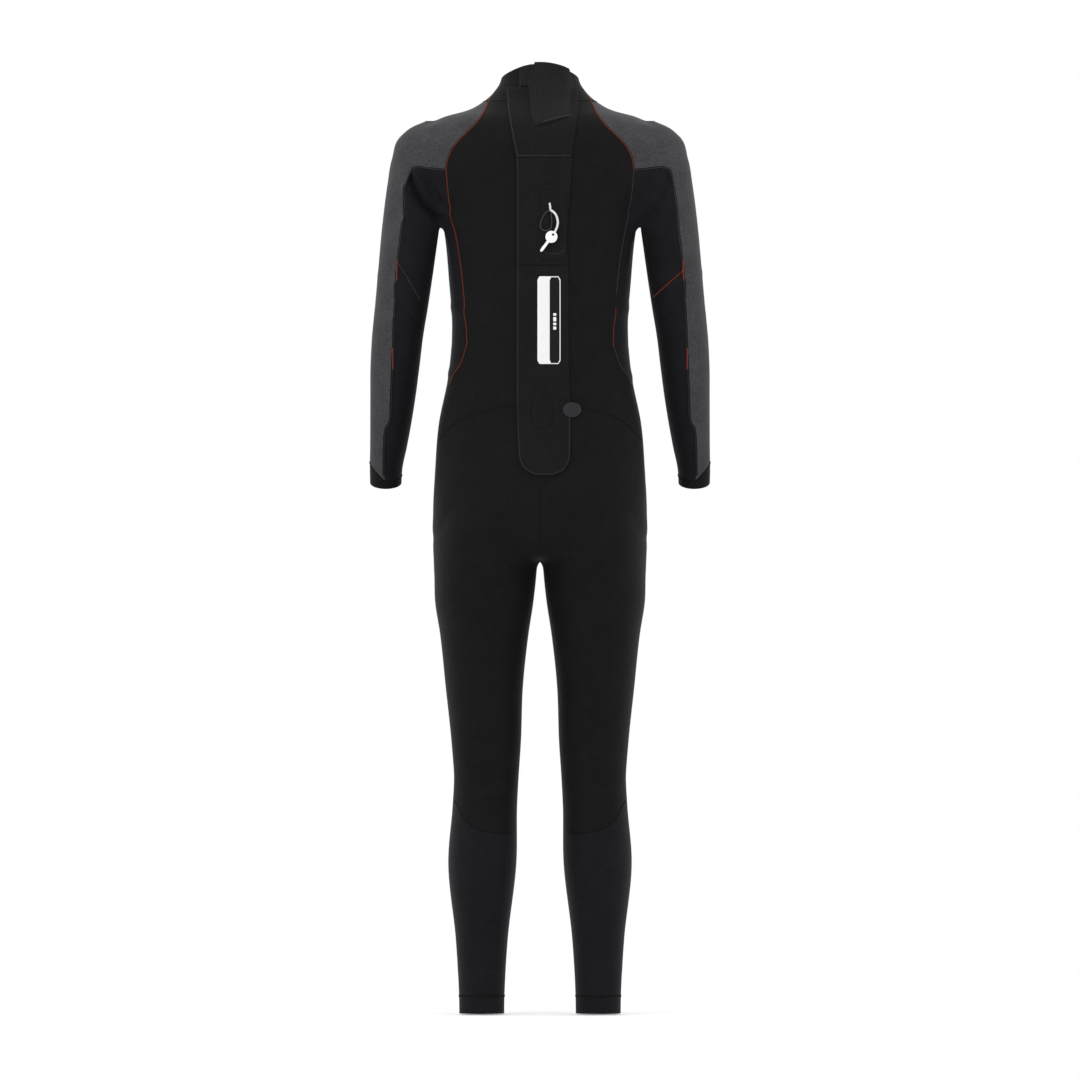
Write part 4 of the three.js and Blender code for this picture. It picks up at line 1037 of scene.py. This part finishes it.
def slab(outline, hole, depth, thick, bevel):
    """A flat moulding between an outline and a round hole with the same number of points: rings from the
    hole's back edge, over both faces with a bevel at each edge, and round to the start."""
    rings = [(hole, -1.0, 0), (hole, 1.0, 0), (hole * 0.7 + outline * 0.3, 1.0, 0), (outline, 1.0, -bevel),
             (outline, 1 - 2 * bevel / thick, 0), (outline, -1 + 2 * bevel / thick, 0),
             (outline, -1.0, -bevel),
             (hole * 0.7 + outline * 0.3, -1.0, 0)]
    middle = outline.mean(0)
    points = []
    for flat, side, inset in rings:
        flat = flat + unit(flat - middle) * inset
        points.append(np.stack([flat[:, 0], 0 * flat[:, 0] + depth + side * thick / 2, flat[:, 1]], 1))
    n, m = len(outline), len(rings)
    index = np.arange(n * m).reshape(m, n)
    faces = np.stack([index, np.roll(index, -1, 1), np.roll(np.roll(index, -1, 1), -1, 0),
                      np.roll(index, -1, 0)], -1)
    return np.concatenate(points), faces.reshape(-1, 4)


KEY_DEPTH = -119
cut = spaced(np.concatenate([key_cut(), key_cut()[:1]]), 1.0)[:-1]
around = np.arctan2(cut[:, 1], cut[:, 0])
hole = np.stack([2.0 * np.cos(around), 4.6 + 2.0 * np.sin(around)], 1)
follow(put("spare_key_moulding", *slab(turned(cut), turned(hole), KEY_DEPTH, 2.4, 0.5), KEY_WHITE, sharp=40),
       "key",
       ["spare_key"])
CORD_LINE = [(17, 1267), (24, 1262), (28, 1250), (26.5, 1240), (21.5, 1230)]
follow(put("twisted_cord", *strand(CORD_LINE, 8.6, 1.7, 4.0), CORD_WHITE), "key", ["key_cord"])


# ---- Backdrop, light and camera ----
# A white floor just under the ankle hems, fading into a white room, lit by large soft lamps, and seen
# level from behind through a long lens.

def lamp(name, place, aim, size, power):
    """A square lamp facing a point."""
    made = bpy.data.lights.new(name, "AREA")
    made.shape, made.size, made.energy = "SQUARE", size, power
    held = bpy.data.objects.new(name, made)
    held.location = place
    spin = (np.array(aim) - np.array(place, float)).tolist()
    held.rotation_euler = Vector(spin).to_track_quat("-Z", "Y").to_euler()
    bpy.context.scene.collection.objects.link(held)


lamp("key light", (-2.2, -3.0, 1.2), (0, 0, -0.5), 2.0, 34)
lamp("fill light", (2.4, -3.0, 0.6), (0, 0, -0.6), 2.4, 16)
lamp("top light", (0, -0.8, 2.6), (0, 0, -0.4), 2.0, 22)

world = bpy.data.worlds.new("studio")
world.use_nodes = True
world.node_tree.nodes["Background"].inputs["Color"].default_value = linear("#ffffff")
world.node_tree.nodes["Background"].inputs["Strength"].default_value = 1.0
bpy.context.scene.world = world
bpy.context.scene.view_settings.view_transform = "Standard"

FLOOR_RADIUS = 2.6
FLOOR_BELOW = 2                      # millimetres under the ankle hems
radius, spin = np.meshgrid(np.linspace(0.01, FLOOR_RADIUS, 20), np.linspace(0, 2 * np.pi, 49)[:-1],
                           indexing="ij")
disc = np.stack([radius * np.cos(spin), radius * np.sin(spin), 0 * radius], -1).reshape(-1, 3) / MM
index = np.arange(radius.size).reshape(radius.shape)
index = np.concatenate([index, index[:, :1]], 1)
quads = np.stack([index[:-1, :-1], index[1:, :-1], index[1:, 1:], index[:-1, 1:]], -1).reshape(-1, 4)
floor_finish, tree, shader = finish_of("floor", "#ffffff", 0.9)
reach = add(tree, "ShaderNodeVectorMath", {}, {0: add(tree, "ShaderNodeTexCoord").outputs["Object"]},
            operation="LENGTH")
fade = add(tree, "ShaderNodeMapRange", {"From Min": 0.8, "From Max": 2.7, "To Min": 1.0, "To Max": 0.0},
           {"Value": reach.outputs["Value"]}, interpolation_type="SMOOTHSTEP")
tree.links.new(fade.outputs[0], shader.inputs["Alpha"])
floor = put("floor", disc - np.array([0, 0, FLOOR_BELOW]), quads, floor_finish)

CAMERA_AWAY = 28.44                  # metres behind the suit, so that near and far parts keep one scale
CAMERA_HEIGHT = 0.748                # metres above the ankle hems
eye = bpy.data.cameras.new("camera")
eye.lens = 600
eye.sensor_width = 36
eye.clip_end = 90
camera = bpy.data.objects.new("camera", eye)
camera.location = (0, -CAMERA_AWAY, CAMERA_HEIGHT + HEM_Z)
camera.rotation_euler = (np.pi / 2, 0, 0)
bpy.context.scene.collection.objects.link(camera)
bpy.context.scene.camera = camera
